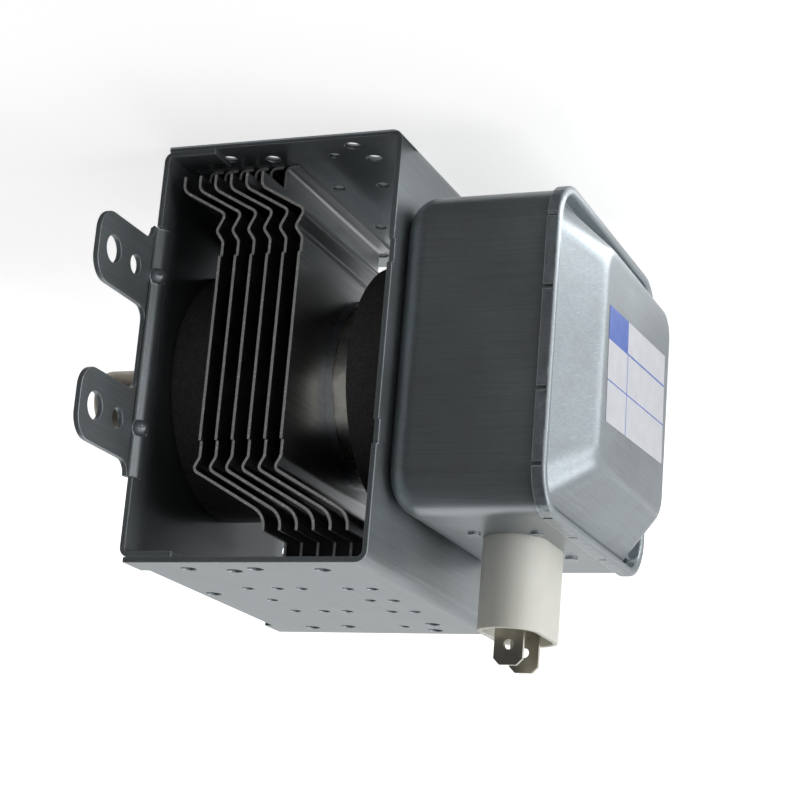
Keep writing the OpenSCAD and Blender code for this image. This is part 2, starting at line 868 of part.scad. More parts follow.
// A steel funnel that brings the magnet's field to the vanes
module pole_piece() {
    rim = seat_r - fit_gap;
    translate([0, 0, z_seal_a])
        rotate_extrude()
            polygon([
                [rim, 0], [pole_flat_r, 0], [pole_tip_r, pole_dip], [pole_hole_r, pole_dip],
                [pole_hole_r, pole_dip + pole_t], [pole_tip_r, pole_dip + pole_t],
                [pole_flat_r, pole_t], [rim, pole_t]
            ]);
}

// The slanted hole that lets the antenna lead through the pole piece
module pole_slot() {
    a = antenna_lead_path[1];
    d = antenna_lead_path[2] - a;
    translate([a[0], 0, a[1]])
        rotate([0, atan2(d[0], d[1]), 0])
            cylinder(h = norm(d), r = pole_slot_r, $fn = 32);
}

// The antenna's pole piece, with the hole that lets the antenna lead through
module pole_piece_antenna_side() {
    color(nickel)
        tube_frame()
            difference() {
                pole_piece();
                pole_slot();
            }
}

module pole_piece_filter_side() {
    color(nickel)
        tube_frame()
            filter_end()
                pole_piece();
}

// A thin steel sleeve with a flange that closes the end of the anode, reaching out to z_end
module seal_sleeve(z_end) {
    rotate_extrude()
        polygon([
            [seal_r - seal_t, z_end], [seal_r, z_end], [seal_r, z_anode_a],
            [seat_r - fit_gap, z_anode_a], [seat_r - fit_gap, z_seal_a], [seal_r - seal_t, z_seal_a]
        ]);
}

module seal_sleeve_antenna_side() {
    color(nickel)
        tube_frame()
            seal_sleeve(z_ceramic);
}

module seal_sleeve_filter_side() {
    color(nickel)
        tube_frame()
            filter_end()
                seal_sleeve(2 * z_mid - z_stem);
}

// The coiled cathode wire between its end hats
module filament() {
    steps = turn_steps * filament_turns;
    path = [
        for (i = [0 : steps])
            let (a = 360 * filament_turns * i / steps)
            [filament_r * cos(a), filament_r * sin(a), z_mid - filament_l / 2 + filament_l * i / steps]
    ];
    color(tungsten)
        tube_frame()
            wire(path, filament_wire_r, thin_sides);
}

// The hat that closes the filament towards the antenna and holds the centre lead
module end_hat_antenna_side() {
    color(tungsten)
        tube_frame()
            rotate_extrude()
                turned(lead_r + fit_gap, hat_r, z_mid - hat_at - hat_t, z_mid - hat_at);
}

// The other hat: the centre lead passes through it freely, and the side lead holds it
module end_hat_filter_side() {
    color(tungsten)
        tube_frame()
            difference() {
                rotate_extrude()
                    turned(lead_r + pass_gap, hat_r, z_mid + hat_at, z_mid + hat_at + hat_t);
                translate([0, side_lead_y, z_mid])
                    cylinder(h = anode_l, r = lead_r + fit_gap, $fn = 32);
            }
}

module centre_lead() {
    z0 = z_mid - hat_at - hat_t;
    color(tungsten)
        tube_frame()
            translate([0, 0, z0])
                cylinder(h = z_stem_end + terminal_t - z0, r = lead_r, $fn = 32);
}

module side_lead() {
    z0 = z_mid + hat_at;
    color(tungsten)
        tube_frame()
            translate([0, side_lead_y, z0])
                cylinder(h = z_stem_end + terminal_t - z0, r = lead_r, $fn = 32);
}

// The holes for both cathode leads
module lead_holes(z0, z1) {
    for (y = [0, side_lead_y])
        translate([0, y, z0])
            cylinder(h = z1 - z0, r = lead_r + fit_gap, $fn = 32);
}

// The insulator that carries the cathode leads into the filter box
module stem_ceramic() {
    waist = 0.6;
    waist_z = z_stem + stem_l / 3;
    color(ceramic)
        tube_frame()
            difference() {
                rotate_extrude()
                    polygon([
                        [0, z_stem], [seal_r, z_stem], [seal_r, waist_z], [seal_r - waist, waist_z + waist],
                        [seal_r - waist, z_stem_end], [0, z_stem_end]
                    ]);
                lead_holes(z_stem - over, z_stem_end + over);
            }
}

// A flat terminal on the end of the stem, from y0 to y1
module stem_terminal(y0, y1) {
    color(nickel)
        tube_frame()
            difference() {
                translate([-terminal_w / 2, y0, z_stem_end])
                    cube([terminal_w, y1 - y0, terminal_t]);
                lead_holes(z_stem_end - over, z_stem_end + terminal_t + over);
            }
}

module stem_terminal_1() {
    stem_terminal(-terminal_y, (side_lead_y - terminal_gap) / 2);
}

module stem_terminal_2() {
    stem_terminal((side_lead_y + terminal_gap) / 2, terminal_y);
}

// The bent copper rod that takes the power from one vane to the cap
module antenna_lead() {
    radii = same_radii(antenna_lead_path, antenna_bend_r);
    path = [for (p = bent_path(antenna_lead_path, radii)) [p[0], 0, p[1]]];
    color(copper)
        tube_frame()
            wire(path, antenna_lead_r, rod_sides);
}

// The insulating ring under the antenna cap
module antenna_ceramic() {
    ring_t = 2.4;
    color(ceramic)
        tube_frame()
            rotate_extrude()
                turned(seal_r - ring_t, seal_r, z_cap_seat, z_ceramic);
}

// The copper pump-out tube with its closing disc, pinched shut at the tip
module exhaust_tube() {
    pinch = 2;
    disc_in = 0.4;
    color(copper)
        tube_frame()
            difference() {
                union() {
                    translate([0, 0, z_cap])
                        cylinder(h = disc_t, r = seal_r - disc_in);
                    intersection() {
                        translate([0, 0, z_cap - tube_l])
                            cylinder(h = tube_l, r = tube_r);
                        along_y(2 * tube_r)
                            polygon([
                                [-tube_r, z_cap], [tube_r, z_cap], [tube_r, z_cap - tube_l + 2 * pinch],
                                [tube_t, z_cap - tube_l], [-tube_t, z_cap - tube_l],
                                [-tube_r, z_cap - tube_l + 2 * pinch]
                            ]);
                    }
                }
                translate([0, 0, z_cap - tube_l + 2 * pinch])
                    cylinder(h = tube_l, r = tube_r - tube_t);
                translate([0, 0, z_cap - tube_l + pinch / 2])
                    cylinder(h = tube_l, r = antenna_lead_r + fit_gap, $fn = 32);
            }
}

// The drawn cap that covers the pump-out tube and radiates into the waveguide
module antenna_cap() {
    nose_r = 2;
    z_end = z_cap - cap_l;
    outer = arc([cap_r - nose_r, z_end + nose_r], nose_r, 0, -90, nose_steps);
    inner = arc([cap_r - nose_r, z_end + nose_r], nose_r - cap_t, -90, 0, nose_steps);
    color(nickel)
        tube_frame()
            rotate_extrude()
                polygon(concat(
                    [[cap_r, z_cap]], outer, [[0, z_end], [0, z_end + cap_t]], inner, [[cap_r - cap_t, z_cap]]
                ));
}

// The knitted wire ring that seals the antenna's opening in the waveguide
module mesh_gasket() {
    round_share = 0.4;
    round_r = gasket_t * round_share;
    r_in = seal_r + pass_gap;
    z_top = z_plate_out - gasket_t;
    color(mesh)
        tube_frame()
            rotate_extrude() {
                turned(r_in, gasket_r, z_top + round_r, z_plate_out);
                turned(r_in + round_r, gasket_r - round_r, z_top, z_plate_out);
                for (r = [r_in + round_r, gasket_r - round_r])
                    translate([r, z_top + round_r])
                        circle(round_r);
            }
}

// A profile swept around the box: its x is counted outwards from the corners' centres
module around_box() {
    for (i = [0 : 3])
        rotate([0, 0, 90 * i]) {
            even = i % 2 == 0;
            a = even ? case_x : case_y;
            b = even ? case_y : case_x;
            translate([a, b, 0])
                rotate_extrude(angle = 90)
                    children();
            translate([a, 0, 0])
                along_y(2 * b)
                    children();
        }
}

// An oval across the connector: round ends of radius r about the two blades
module oval(r) {
    translate([-r, -blade_pitch / 2])
        square([2 * r, blade_pitch]);
    for (s = [-1, 1])
        translate([0, s * blade_pitch / 2])
            circle(r);
}

// Turns shapes so that they stand on the box's upper wall, about the connector's axis
module on_connector(x0) {
    translate([x0, 0, z_connector])
        rotate([0, 90, 0])
            children();
}

// The places of the four rivets
module at_rivets() {
    for (a = [-1, 1])
        for (b = [-1, 1])
            translate([a * rivet_z, b * rivet_y, 0])
                children();
}

// Half the section of a drawn cup: out to n, from z0 to z1, with a round floor edge
module cup_section(n, r, z0, z1) {
    intersection() {
        translate([0, z0])
            square([n, z1 - z0]);
        union() {
            translate([0, z0])
                square([n - r, z1 - z0]);
            translate([0, z0 + r])
                square([n, z1 - z0 - r]);
            translate([n - r, z0 + r])
                circle(r);
        }
    }
}

// The drawn steel box that sits on the yoke's wall
module filter_case() {
    color(galvanised)
        tube_frame()
            difference() {
                translate([0, 0, z_wall_out]) {
                    around_box()
                        difference() {
                            cup_section(case_r, case_floor_r, 0, case_depth);
                            cup_section(case_r - case_t, case_floor_r - case_t, case_t, case_depth + over);
                        }
                    translate([-case_x, -case_y, 0])
                        cube([2 * case_x, 2 * case_y, case_t]);
                }
                translate([0, 0, z_wall_out - over])
                    cylinder(h = case_t + 2 * over, r = seal_r + pass_gap);
                on_connector(x_wall_in - over)
                    linear_extrude(case_t + 2 * over)
                        oval(sleeve_r + fit_gap);
                on_connector(x_wall_in - over)
                    at_rivets()
                        cylinder(h = case_t + 2 * over, r = rivet_r + fit_gap, $fn = 32);
            }
}

// Radius of the lid's corners at a distance n inwards from the case's wall
function lid_corner_r(n) =
    let (foot_r = case_r - lid_foot)
    n < lid_foot ? case_r - n : foot_r + (panel_r - foot_r) * (n - lid_foot) / (panel_in - lid_foot);

// One ring around the lid, at a distance n inwards from the case's wall
function lid_ring(n, z) =
    let (r = lid_corner_r(n))
    let (h = case_h / 2 - n - r)
    let (w = case_w / 2 - n - r)
    let (centres = [[h, w], [-h, w], [-h, -w], [h, -w]])
    [
        for (q = [0 : 3])
            for (p = arc(centres[q], r, 90 * q, 90 * q + 90, corner_steps))
                [p[0], p[1], z]
    ];

// The lid: a raised panel in a trough, folded over the case's edge and crimped in strips
module filter_lid() {
    outline = strip_outline(bent_path(lid_path, lid_radii), lid_t);
    wall_x = case_h / 2 + lid_t;
    wall_y = case_w / 2 + lid_t;
    color(galvanised)
        tube_frame()
            difference() {
                loft([for (p = outline) lid_ring(p[0], p[1])]);
                for (s = [-1, 1])
                    for (at = [-1, 1]) {
                        for (x = [slit_at, case_x + slit_w])
                            translate([at * x, s * wall_y, z_edge - lid_skirt])
                                cube([slit_w, 2 * lid_t, 2 * lid_skirt], center = true);
                        for (y = [slit_at, case_y + slit_w])
                            translate([s * wall_x, at * y, z_edge - lid_skirt])
                                cube([2 * lid_t, slit_w, 2 * lid_skirt], center = true);
                    }
            }
}

// Places a shape of the second choke or blade on the other side
module on_side(side) {
    mirror([0, side < 0 ? 1 : 0, 0])
        children();
}

// The ferrite rod inside a choke coil
module choke_core(side) {
    color(ferrite)
        tube_frame()
            on_side(side)
                translate([coil_low - core_over, coil_y, coil_z])
                    rotate([0, 90, 0])
                        cylinder(h = coil_l + 2 * core_over, r = core_r);
}

// A choke coil, with its ends led to the stem terminal and to the capacitor's stud
module choke_coil(side) {
    steps = turn_steps * coil_turns;
    rise = coil_l / (2 * PI * coil_turns);
    turns = [
        for (i = [0 : steps])
            let (a = 180 + 360 * coil_turns * i / steps)
            [coil_low + coil_l * i / steps, coil_y + coil_r * cos(a), coil_z + coil_r * sin(a)]
    ];
    heading = unit([rise, 0, -coil_r]);
    first = turns[0];
    last = turns[steps];
    stub_in = [0, wire_stub, 0];
    stub_out = [wire_stub, 0, 0];
    at_terminal = [0, terminal_y + fit_gap, z_stem_end + terminal_t / 2];
    at_stud = [x_stud_end - fit_gap, blade_pitch / 2, z_connector];
    bend_in = at_terminal + stub_in;
    bend_out = at_stud - stub_out;
    lead_in = curve(bend_in, bend_in + stub_in, first - wire_swing * heading, first, lead_steps);
    lead_out = curve(last, last + wire_swing * heading, bend_out - wire_swing * stub_out, bend_out, lead_steps);
    path = concat([at_terminal], without_last(lead_in), without_last(turns), lead_out, [at_stud]);
    color(copper)
        tube_frame()
            on_side(side)
                wire(path, wire_r, wire_sides);
}

// The steel flange that grounds the capacitor to the case
module capacitor_flange() {
    stud_hole_r = 2.4;
    color(galvanised)
        tube_frame()
            on_connector(x_flange_in)
                difference() {
                    translate([-flange_w / 2, -flange_h / 2, 0])
                        cube([flange_w, flange_h, flange_t]);
                    for (s = [-1, 1])
                        translate([0, s * blade_pitch / 2, -over])
                            cylinder(h = flange_t + 2 * over, r = stud_hole_r, $fn = 32);
                    translate([0, 0, -over])
                        at_rivets()
                            cylinder(h = flange_t + 2 * over, r = rivet_r + fit_gap, $fn = 32);
                }
}

// The holes for the two studs, from the case's inside outwards
module stud_holes(h) {
    for (s = [-1, 1])
        translate([0, s * blade_pitch / 2, -over])
            cylinder(h = h + 2 * over, r = stud_r + fit_gap, $fn = 32);
}

// The potted capacitor under the flange
module capacitor_body() {
    color(cream)
        tube_frame()
            on_connector(x_body_end)
                difference() {
                    linear_extrude(capacitor_l)
                        oval(body_r);
                    stud_holes(capacitor_l);
                }
}

// The open oval sleeve around the blades
module connector_sleeve() {
    l = x_sleeve_end - x_wall_in;
    color(cream)
        tube_frame()
            on_connector(x_wall_in)
                difference() {
                    linear_extrude(l)
                        oval(sleeve_r);
                    translate([0, 0, sleeve_floor])
                        linear_extrude(l)
                            oval(sleeve_r - sleeve_t);
                    stud_holes(sleeve_floor);
                }
}

// A push-on blade with chamfered corners and a hole, and the stud that carries it
module terminal_blade(side) {
    l = x_blade_end - x_sleeve_floor;
    w = blade_w / 2;
    c = blade_chamfer;
    color(tinned)
        tube_frame()
            on_connector(x_sleeve_floor)
                translate([0, side * blade_pitch / 2, 0]) {
                    along_y(blade_t)
                        difference() {
                            polygon([[-w, 0], [w, 0], [w, l - c], [w - c, l], [c - w, l], [-w, l - c]]);
                            translate([0, l - blade_hole_in])
                                circle(d = blade_hole_d);
                        }
                    translate([0, 0, x_stud_end - x_sleeve_floor])
                        cylinder(h = x_sleeve_floor - x_stud_end, r = stud_r, $fn = 32);
                }
}

// The rivets that hold the flange to the case
module flange_rivets() {
    grip = case_t + flange_t;
    color(nickel)
        tube_frame()
            on_connector(x_flange_in)
                at_rivets() {
                    cylinder(h = grip, r = rivet_r, $fn = 32);
                    for (z = [-rivet_head_t, grip])
                        translate([0, 0, z])
                            cylinder(h = rivet_head_t, r = rivet_head_r, $fn = 32);
                }
}

yoke_channel();
mounting_plate();
magnet_antenna_side();
magnet_filter_side();
fin(0);  // fin_1
fin(1);  // fin_2
fin(2);  // fin_3
fin(3);  // fin_4
fin(4);  // fin_5
fin(5);  // fin_6
anode_cylinder();
anode_vanes();
strap_small_antenna_side();
strap_large_antenna_side();
strap_small_filter_side();
strap_large_filter_side();
pole_piece_antenna_side();
pole_piece_filter_side();
seal_sleeve_antenna_side();
seal_sleeve_filter_side();
filament();
end_hat_antenna_side();
end_hat_filter_side();
centre_lead();
side_lead();
stem_ceramic();
stem_terminal_1();
stem_terminal_2();
antenna_lead();
antenna_ceramic();
exhaust_tube();
antenna_cap();
mesh_gasket();
filter_case();
filter_lid();
choke_core(1);  // choke_core_1
choke_core(-1);  // choke_core_2
choke_coil(1);  // choke_coil_1
choke_coil(-1);  // choke_coil_2
capacitor_flange();
capacitor_body();
connector_sleeve();
terminal_blade(-1);  // terminal_blade_1
terminal_blade(1);  // terminal_blade_2
flange_rivets();
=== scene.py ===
# %% [markdown]
# # A magnetron, dressed for its picture
# The solids of this part come from its CAD frame: a folded steel yoke, ring magnets, six bent
# fins around a vacuum tube, and a drawn filter box with a crimped lid. They have the right
# shape and size already, so this lesson adds what a solid can't hold: finishes, rounded
# edges, a label and a knitted gasket. We load the frame first and keep its box, because the
# dressed part may not outgrow it.

# %% Load the frame
import json
import math

import bmesh
import bpy
from mathutils import Matrix, Vector


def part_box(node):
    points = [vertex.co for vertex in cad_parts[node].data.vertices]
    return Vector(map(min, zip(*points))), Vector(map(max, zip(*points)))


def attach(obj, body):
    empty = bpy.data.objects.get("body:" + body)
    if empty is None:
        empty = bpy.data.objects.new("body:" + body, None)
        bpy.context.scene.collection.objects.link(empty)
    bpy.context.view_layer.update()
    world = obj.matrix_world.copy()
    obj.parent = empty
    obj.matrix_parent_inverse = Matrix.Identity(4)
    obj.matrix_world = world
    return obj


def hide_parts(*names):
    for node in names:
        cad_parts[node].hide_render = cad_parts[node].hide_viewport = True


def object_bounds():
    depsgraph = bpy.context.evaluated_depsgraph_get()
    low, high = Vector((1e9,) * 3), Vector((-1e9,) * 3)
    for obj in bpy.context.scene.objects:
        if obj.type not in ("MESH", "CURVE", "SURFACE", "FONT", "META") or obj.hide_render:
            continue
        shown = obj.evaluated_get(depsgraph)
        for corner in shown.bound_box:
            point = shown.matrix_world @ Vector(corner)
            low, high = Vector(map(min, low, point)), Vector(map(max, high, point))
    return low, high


MM = 0.001
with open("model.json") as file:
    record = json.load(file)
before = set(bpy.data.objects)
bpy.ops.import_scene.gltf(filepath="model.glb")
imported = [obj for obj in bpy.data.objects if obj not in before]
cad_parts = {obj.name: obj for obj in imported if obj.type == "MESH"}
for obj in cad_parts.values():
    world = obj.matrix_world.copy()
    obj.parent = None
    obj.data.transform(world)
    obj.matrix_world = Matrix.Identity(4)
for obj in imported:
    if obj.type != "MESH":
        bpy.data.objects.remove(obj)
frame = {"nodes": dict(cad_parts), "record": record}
cad_low, cad_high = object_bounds()
print("CAD box in mm:", [round(side / MM, 1) for side in cad_high - cad_low])

# %% [markdown]
# ## The camera
# The photograph shows the part upside down, with its connector pointing down. The part keeps
# its own frame, so the camera turns instead: it hangs head down, a little above the part and to
# the side of the filter box. A long lens at half a metre gives the photograph's perspective. A
# Track To constraint could aim it, but it can't roll the camera, so the axes are built here.

# %% Place the camera
CAMERA_PLACE = Vector((-219.9, -414.5, 127.6)) * MM
CAMERA_AIM = Vector((-51.1, -15.5, 5.9)) * MM
CAMERA_UP = Vector((-0.029, -0.280, -0.959))
SENSOR = 36.0
LENS = 96.8

forward = (CAMERA_AIM - CAMERA_PLACE).normalized()
right = forward.cross(CAMERA_UP).normalized()
up = right.cross(forward)
camera = bpy.data.objects.new("camera", bpy.data.cameras.new("camera"))
camera.data.sensor_width = SENSOR
camera.data.lens = LENS
camera_axes = Matrix((right, up, -forward)).transposed().to_4x4()
camera.matrix_world = Matrix.Translation(CAMERA_PLACE) @ camera_axes
bpy.context.scene.collection.objects.link(camera)
bpy.context.scene.camera = camera
print("camera to part:", round((CAMERA_AIM - CAMERA_PLACE).length, 3), "m")

# %% [markdown]
# ## Building node trees in code
# A finish is a small tree of shader nodes. It could be wired by hand in the Shading workspace,
# but a tree in code can be read, repeated and changed. Three helpers keep the trees short: one
# adds a node and fills its sockets, with numbers or with links from other nodes, one starts a
# material with a Principled shader, and one links a socket later. Constants go straight onto
# the shader's sockets.


# %% Nodes and materials
def add(tree_owner, kind, settings=None, **inputs):
    """Adds a shader node; a socket value is a number, a colour or another node's socket."""
    tree = tree_owner.node_tree
    node = tree.nodes.new("ShaderNode" + kind)
    for name, value in (settings or {}).items():
        setattr(node, name, value)
    for name, value in inputs.items():
        socket = node.inputs[name.replace("_", " ")]
        if isinstance(value, bpy.types.NodeSocket):
            tree.links.new(value, socket)
        else:
            socket.default_value = value
    return node


def start_material(name, **inputs):
    """A material with one Principled shader, and that shader's node."""
    material = bpy.data.materials.new(name)
    material.use_nodes = True
    material.node_tree.nodes.clear()
    shader = add(material, "BsdfPrincipled", **inputs)
    add(material, "OutputMaterial", Surface=shader.outputs["BSDF"])
    return material, shader


def feed(material, socket, source):
    """Links a node's output to a socket."""
    material.node_tree.links.new(source, socket)


print("node helpers ready")

# %% [markdown]
# ## Noise, tones and relief
# Every finish here varies in the same ways: spots of some size, a tone between two colours, and
# a shallow relief. Each way is one helper that works in millimetres, so a finish reads like a
# recipe. Node groups would do the same job, but are longer to build in code.


# %% Noise, tones and relief
def noise(material, size, detail=2.0, stretch=(1, 1, 1)):
    """Noise whose spots are about size millimetres wide, drawn out along the stretched axes."""
    place = add(material, "TexCoord").outputs["Object"]
    scale = [1 / (size * MM * s) for s in stretch]
    mapped = add(material, "Mapping", Vector=place, Scale=scale).outputs["Vector"]
    return add(material, "TexNoise", Vector=mapped, Scale=1.0, Detail=detail).outputs["Fac"]


def spread(material, value, low, high, start=0.3, end=0.7):
    """Carries a value between start and end over to the range from low to high."""
    ends = {"From_Min": start, "From_Max": end, "To_Min": low, "To_Max": high}
    return add(material, "MapRange", Value=value, **ends).outputs[0]


def mix_colours(material, factor, first, second):
    """A colour between two colours; each of the three can be a value or a socket."""
    node = add(material, "Mix", {"data_type": "RGBA"})
    for index, value in ((0, factor), (6, first), (7, second)):
        socket = node.inputs[index]
        if isinstance(value, bpy.types.NodeSocket):
            feed(material, socket, value)
        else:
            socket.default_value = value if index == 0 else (*value, 1.0)
    return node.outputs[2]


def calculate(material, operation, first, second):
    """The result of one sum on two values or sockets."""
    node = add(material, "Math", {"operation": operation})
    for socket, value in zip(node.inputs, (first, second)):
        if isinstance(value, bpy.types.NodeSocket):
            feed(material, socket, value)
        else:
            socket.default_value = value
    return node.outputs[0]


def bump(material, height, depth):
    """A bump of the given depth in millimetres."""
    return add(material, "Bump", Height=height, Strength=1.0, Distance=depth * MM).outputs["Normal"]


print("noise, tones and relief ready")

# %% [markdown]
# ## Floor
# The part stands on a plain pale floor in front of white. The floor takes the lamps' light, so
# it keeps the shadow. Seen by the camera, or in metal, it is lifted to white further out, where
# it has to run into the white world without a seam. More light would whiten it too, but would
# bleach the part, so the Light Path node lifts the paper alone.

# %% Floor
FLOOR_RADIUS = 2.5
FLOOR_COLOUR = (0.74, 0.74, 0.74, 1.0)
NEAR_GLOW = 0.68
SHADOW_REACH = 0.12
WHITE_REACH = 0.30


def seen_directly(tree_owner):
    """1 for rays from the camera and for rays that metal or glass send on."""
    rays = add(tree_owner, "LightPath").outputs
    shown = calculate(tree_owner, "MAXIMUM", rays["Is Camera Ray"], rays["Is Glossy Ray"])
    return calculate(tree_owner, "MAXIMUM", shown, rays["Is Transmission Ray"])


floor_mesh = bpy.data.meshes.new("floor")
disc = bmesh.new()
bmesh.ops.create_circle(disc, cap_ends=True, radius=FLOOR_RADIUS, segments=96)
disc.to_mesh(floor_mesh)
disc.free()
floor = bpy.data.objects.new("floor", floor_mesh)
floor_middle = (cad_low + cad_high) / 2
floor.location = (floor_middle.x, floor_middle.y, cad_low.z)
bpy.context.scene.collection.objects.link(floor)

paper, paper_shader = start_material("floor_paper", Base_Color=FLOOR_COLOUR, Roughness=0.9)
paper_shader.inputs["Emission Color"].default_value = (1, 1, 1, 1)
floor_spot = add(paper, "TexCoord").outputs["Object"]
from_middle = add(paper, "VectorMath", {"operation": "LENGTH"}, Vector=floor_spot).outputs["Value"]
far_out = spread(paper, from_middle, NEAR_GLOW, 1.0, SHADOW_REACH, WHITE_REACH)
glow = calculate(paper, "MULTIPLY", far_out, seen_directly(paper))
feed(paper, paper_shader.inputs["Emission Strength"], glow)
floor.data.materials.append(paper)
print("floor at", round(floor.location.z / MM, 1), "mm")

# %% [markdown]
# ## White room
# The background is plain white. A white world would also fill every shadow with light, so the
# same mask is used again: the camera and the metal see white, and the other rays bring only a
# little light from all around. A big white backdrop would do as well, but it needs lamps.

# %% White room
AMBIENT = 0.18
world = bpy.data.worlds.new("white_room")
bpy.context.scene.world = world
world.use_nodes = True
world.node_tree.nodes.clear()
level = add(world, "MapRange", Value=seen_directly(world), To_Min=AMBIENT, To_Max=1.0).outputs[0]
background = add(world, "Background", Color=(1, 1, 1, 1), Strength=level)
add(world, "OutputWorld", Surface=background.outputs["Background"])
bpy.context.scene.view_settings.view_transform = "Standard"
print("white room, with", AMBIENT, "of its light on the part")

# %% [markdown]
# ## Lamps
# Three soft boxes light the part: a main one on the side of the filter box, a low one beside it
# that reaches the ears and the wall, and a wide one overhead. One bright sun would be simpler,
# but its hard shadows would hide the fins. The power stays low enough for the pale label and
# the sleeve to keep their colour.

# %% Lamps
# Each row is a name, a place and a size in metres, and a power in watts.
LAMPS = (
    ("side_box", (-0.70, 0.14, 0.44), 0.38, 1.8),
    ("low_side_box", (-0.66, -0.16, 0.10), 0.30, 1.0),
    ("top_box", (0.05, 0.35, 0.75), 0.70, 1.3),
)


def soft_box(name, place, size, power):
    """A square area lamp that looks at the middle of the part."""
    lamp = bpy.data.objects.new(name, bpy.data.lights.new(name, "AREA"))
    lamp.data.size = size
    lamp.data.energy = power
    lamp.location = place
    lamp.rotation_euler = (floor_middle - Vector(place)).to_track_quat("-Z", "Y").to_euler()
    bpy.context.scene.collection.objects.link(lamp)


for lamp_setting in LAMPS:
    soft_box(*lamp_setting)
print("lamps:", [lamp_setting[0] for lamp_setting in LAMPS])

# %% [markdown]
# ## Dark cards
# Bare sheet metal looks like what it mirrors, and in a white room it would turn white.
# Photographers of metal put black cards beside the camera, so that the faces that look that way
# go dark and the edges stand out. Ours are flat sheets that only mirrors show: one stands
# behind the camera, one lies in front of the part and one hangs above. A grey one lies behind
# the part and tones the lid down.

# %% Dark cards
CARD_FRONT = -0.62
CARD_NEAR = -0.028
CARD_BACK = 0.20
CARD_LOW = cad_low.z + 0.5 * MM
CARD_TOP = 0.60
CARD_LEFT = -0.20
CARD_NEAR_LEFT = -0.09
CARD_RIGHT = 0.90
CARD_GREY = 0.12
BEHIND_LEFT, BEHIND_RIGHT = -0.32, 0.0
BEHIND_FRONT, BEHIND_BACK = 0.09, 0.45
BEHIND_GREY = 0.6
BEHIND_GLOW = 0.25
WEAVE_SIZE = 6.0


def card(name, corners, grey, glow=0.0):
    """A card that shows only in mirrors: no camera sees it and it shades nothing."""
    mesh = bpy.data.meshes.new(name)
    mesh.from_pydata([Vector(corner) for corner in corners], [], [(0, 1, 2, 3)])
    sheet = bpy.data.objects.new(name, mesh)
    bpy.context.scene.collection.objects.link(sheet)
    sheet.visible_camera = False
    sheet.visible_diffuse = False
    sheet.visible_shadow = False
    sheet.visible_transmission = False
    cloth, cloth_shader = start_material(name, Roughness=1.0, Emission_Strength=glow)
    cloth_shader.inputs["Emission Color"].default_value = (1, 1, 1, 1)
    weave = spread(cloth, noise(cloth, WEAVE_SIZE), 0.8, 1.2)
    woven = mix_colours(cloth, weave, (0, 0, 0), (grey, grey, grey))
    feed(cloth, cloth_shader.inputs["Base Color"], woven)
    mesh.materials.append(cloth)


def lying(left, right, front, back, height):
    """Corners of a level rectangle, front edge first."""
    outline = [(left, front), (right, front), (right, back), (left, back)]
    return [(x, y, height) for x, y in outline]


card("card_standing", [
    (CARD_LEFT, CARD_FRONT, CARD_LOW), (CARD_RIGHT, CARD_FRONT, CARD_LOW),
    (CARD_RIGHT, CARD_FRONT, CARD_TOP), (CARD_LEFT, CARD_FRONT, CARD_TOP)], CARD_GREY)
card("card_canopy", lying(CARD_LEFT, CARD_RIGHT, CARD_FRONT, CARD_BACK, CARD_TOP), CARD_GREY)
card("card_lying", [
    (CARD_LEFT, CARD_FRONT, CARD_LOW), (CARD_RIGHT, CARD_FRONT, CARD_LOW),
    (CARD_RIGHT, CARD_NEAR, CARD_LOW), (CARD_NEAR_LEFT, CARD_NEAR, CARD_LOW)], CARD_GREY)
card("card_behind", lying(BEHIND_LEFT, BEHIND_RIGHT, BEHIND_FRONT, BEHIND_BACK, CARD_LOW),
     BEHIND_GREY, BEHIND_GLOW)

# %% [markdown]
# ## Pale cards
# The lid slopes away from the lamps, and it shines all the same, because it mirrors something
# bright on the table. So a pale strip lies on the floor beside the lid, with two small brighter
# sheets on it. Those make the glints along the lid's rolled edges and at its corners. A lamp
# there would light the rest of the part as well.

# %% Pale cards
STRIP_NEAR = -0.105
STRIP_FAR = -0.42
STRIP_FRONT = -0.26
STRIP_BACK = 0.085
STRIP_TAPER = 3
STRIP_GREY = 0.5
STRIP_GLOW = 1.2
GLINT_LOW = CARD_LOW + 0.5 * MM
NEAR_GLINT = (-0.165, -0.108, -0.050, 0.020)
NEAR_GLINT_GLOW = 7.0
FAR_GLINT = (-0.320, -0.200, 0.005, 0.060)
FAR_GLINT_GLOW = 6.0
card("strip_lying", [
    (STRIP_FAR, STRIP_FRONT, CARD_LOW), (STRIP_NEAR, STRIP_FRONT / STRIP_TAPER, CARD_LOW),
    (STRIP_NEAR, STRIP_BACK / STRIP_TAPER, CARD_LOW), (STRIP_FAR, STRIP_BACK, CARD_LOW)],
    STRIP_GREY, STRIP_GLOW)
card("glint_near", lying(*NEAR_GLINT, GLINT_LOW), STRIP_GREY, NEAR_GLINT_GLOW)
card("glint_far", lying(*FAR_GLINT, GLINT_LOW), STRIP_GREY, FAR_GLINT_GLOW)
print("pale cards: strip_lying, glint_near, glint_far")

# %% [markdown]
# ## Marks on zinc-coated sheet
# The yoke, the mounting plate, the case and the lid are steel sheet with a thin coat of zinc.
# Handling leaves thin scratches, sharp edges get a painted highlight, and the insides of the
# yoke and the plate keep the smooth face of the roll and get a painted shade. A painter would
# use a mask for each. Here the masks come from the form: stretched noise, a Bevel node that
# finds edges, and the surface normal.

# %% Marks on the sheet
SCRATCH_START = 0.70
SCRATCH_END = 0.76
LEG_SIDE = -20 * MM
WALL_SIDE = 0.7
YOKE_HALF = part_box("yoke_channel")[1].y
FADE_START = YOKE_HALF - 8 * MM
FADE_END = YOKE_HALF + 1 * MM
HIGHLIGHT_EDGE_RADIUS = 0.30
HIGHLIGHT_START = 0.84
HIGHLIGHT_END = 0.975


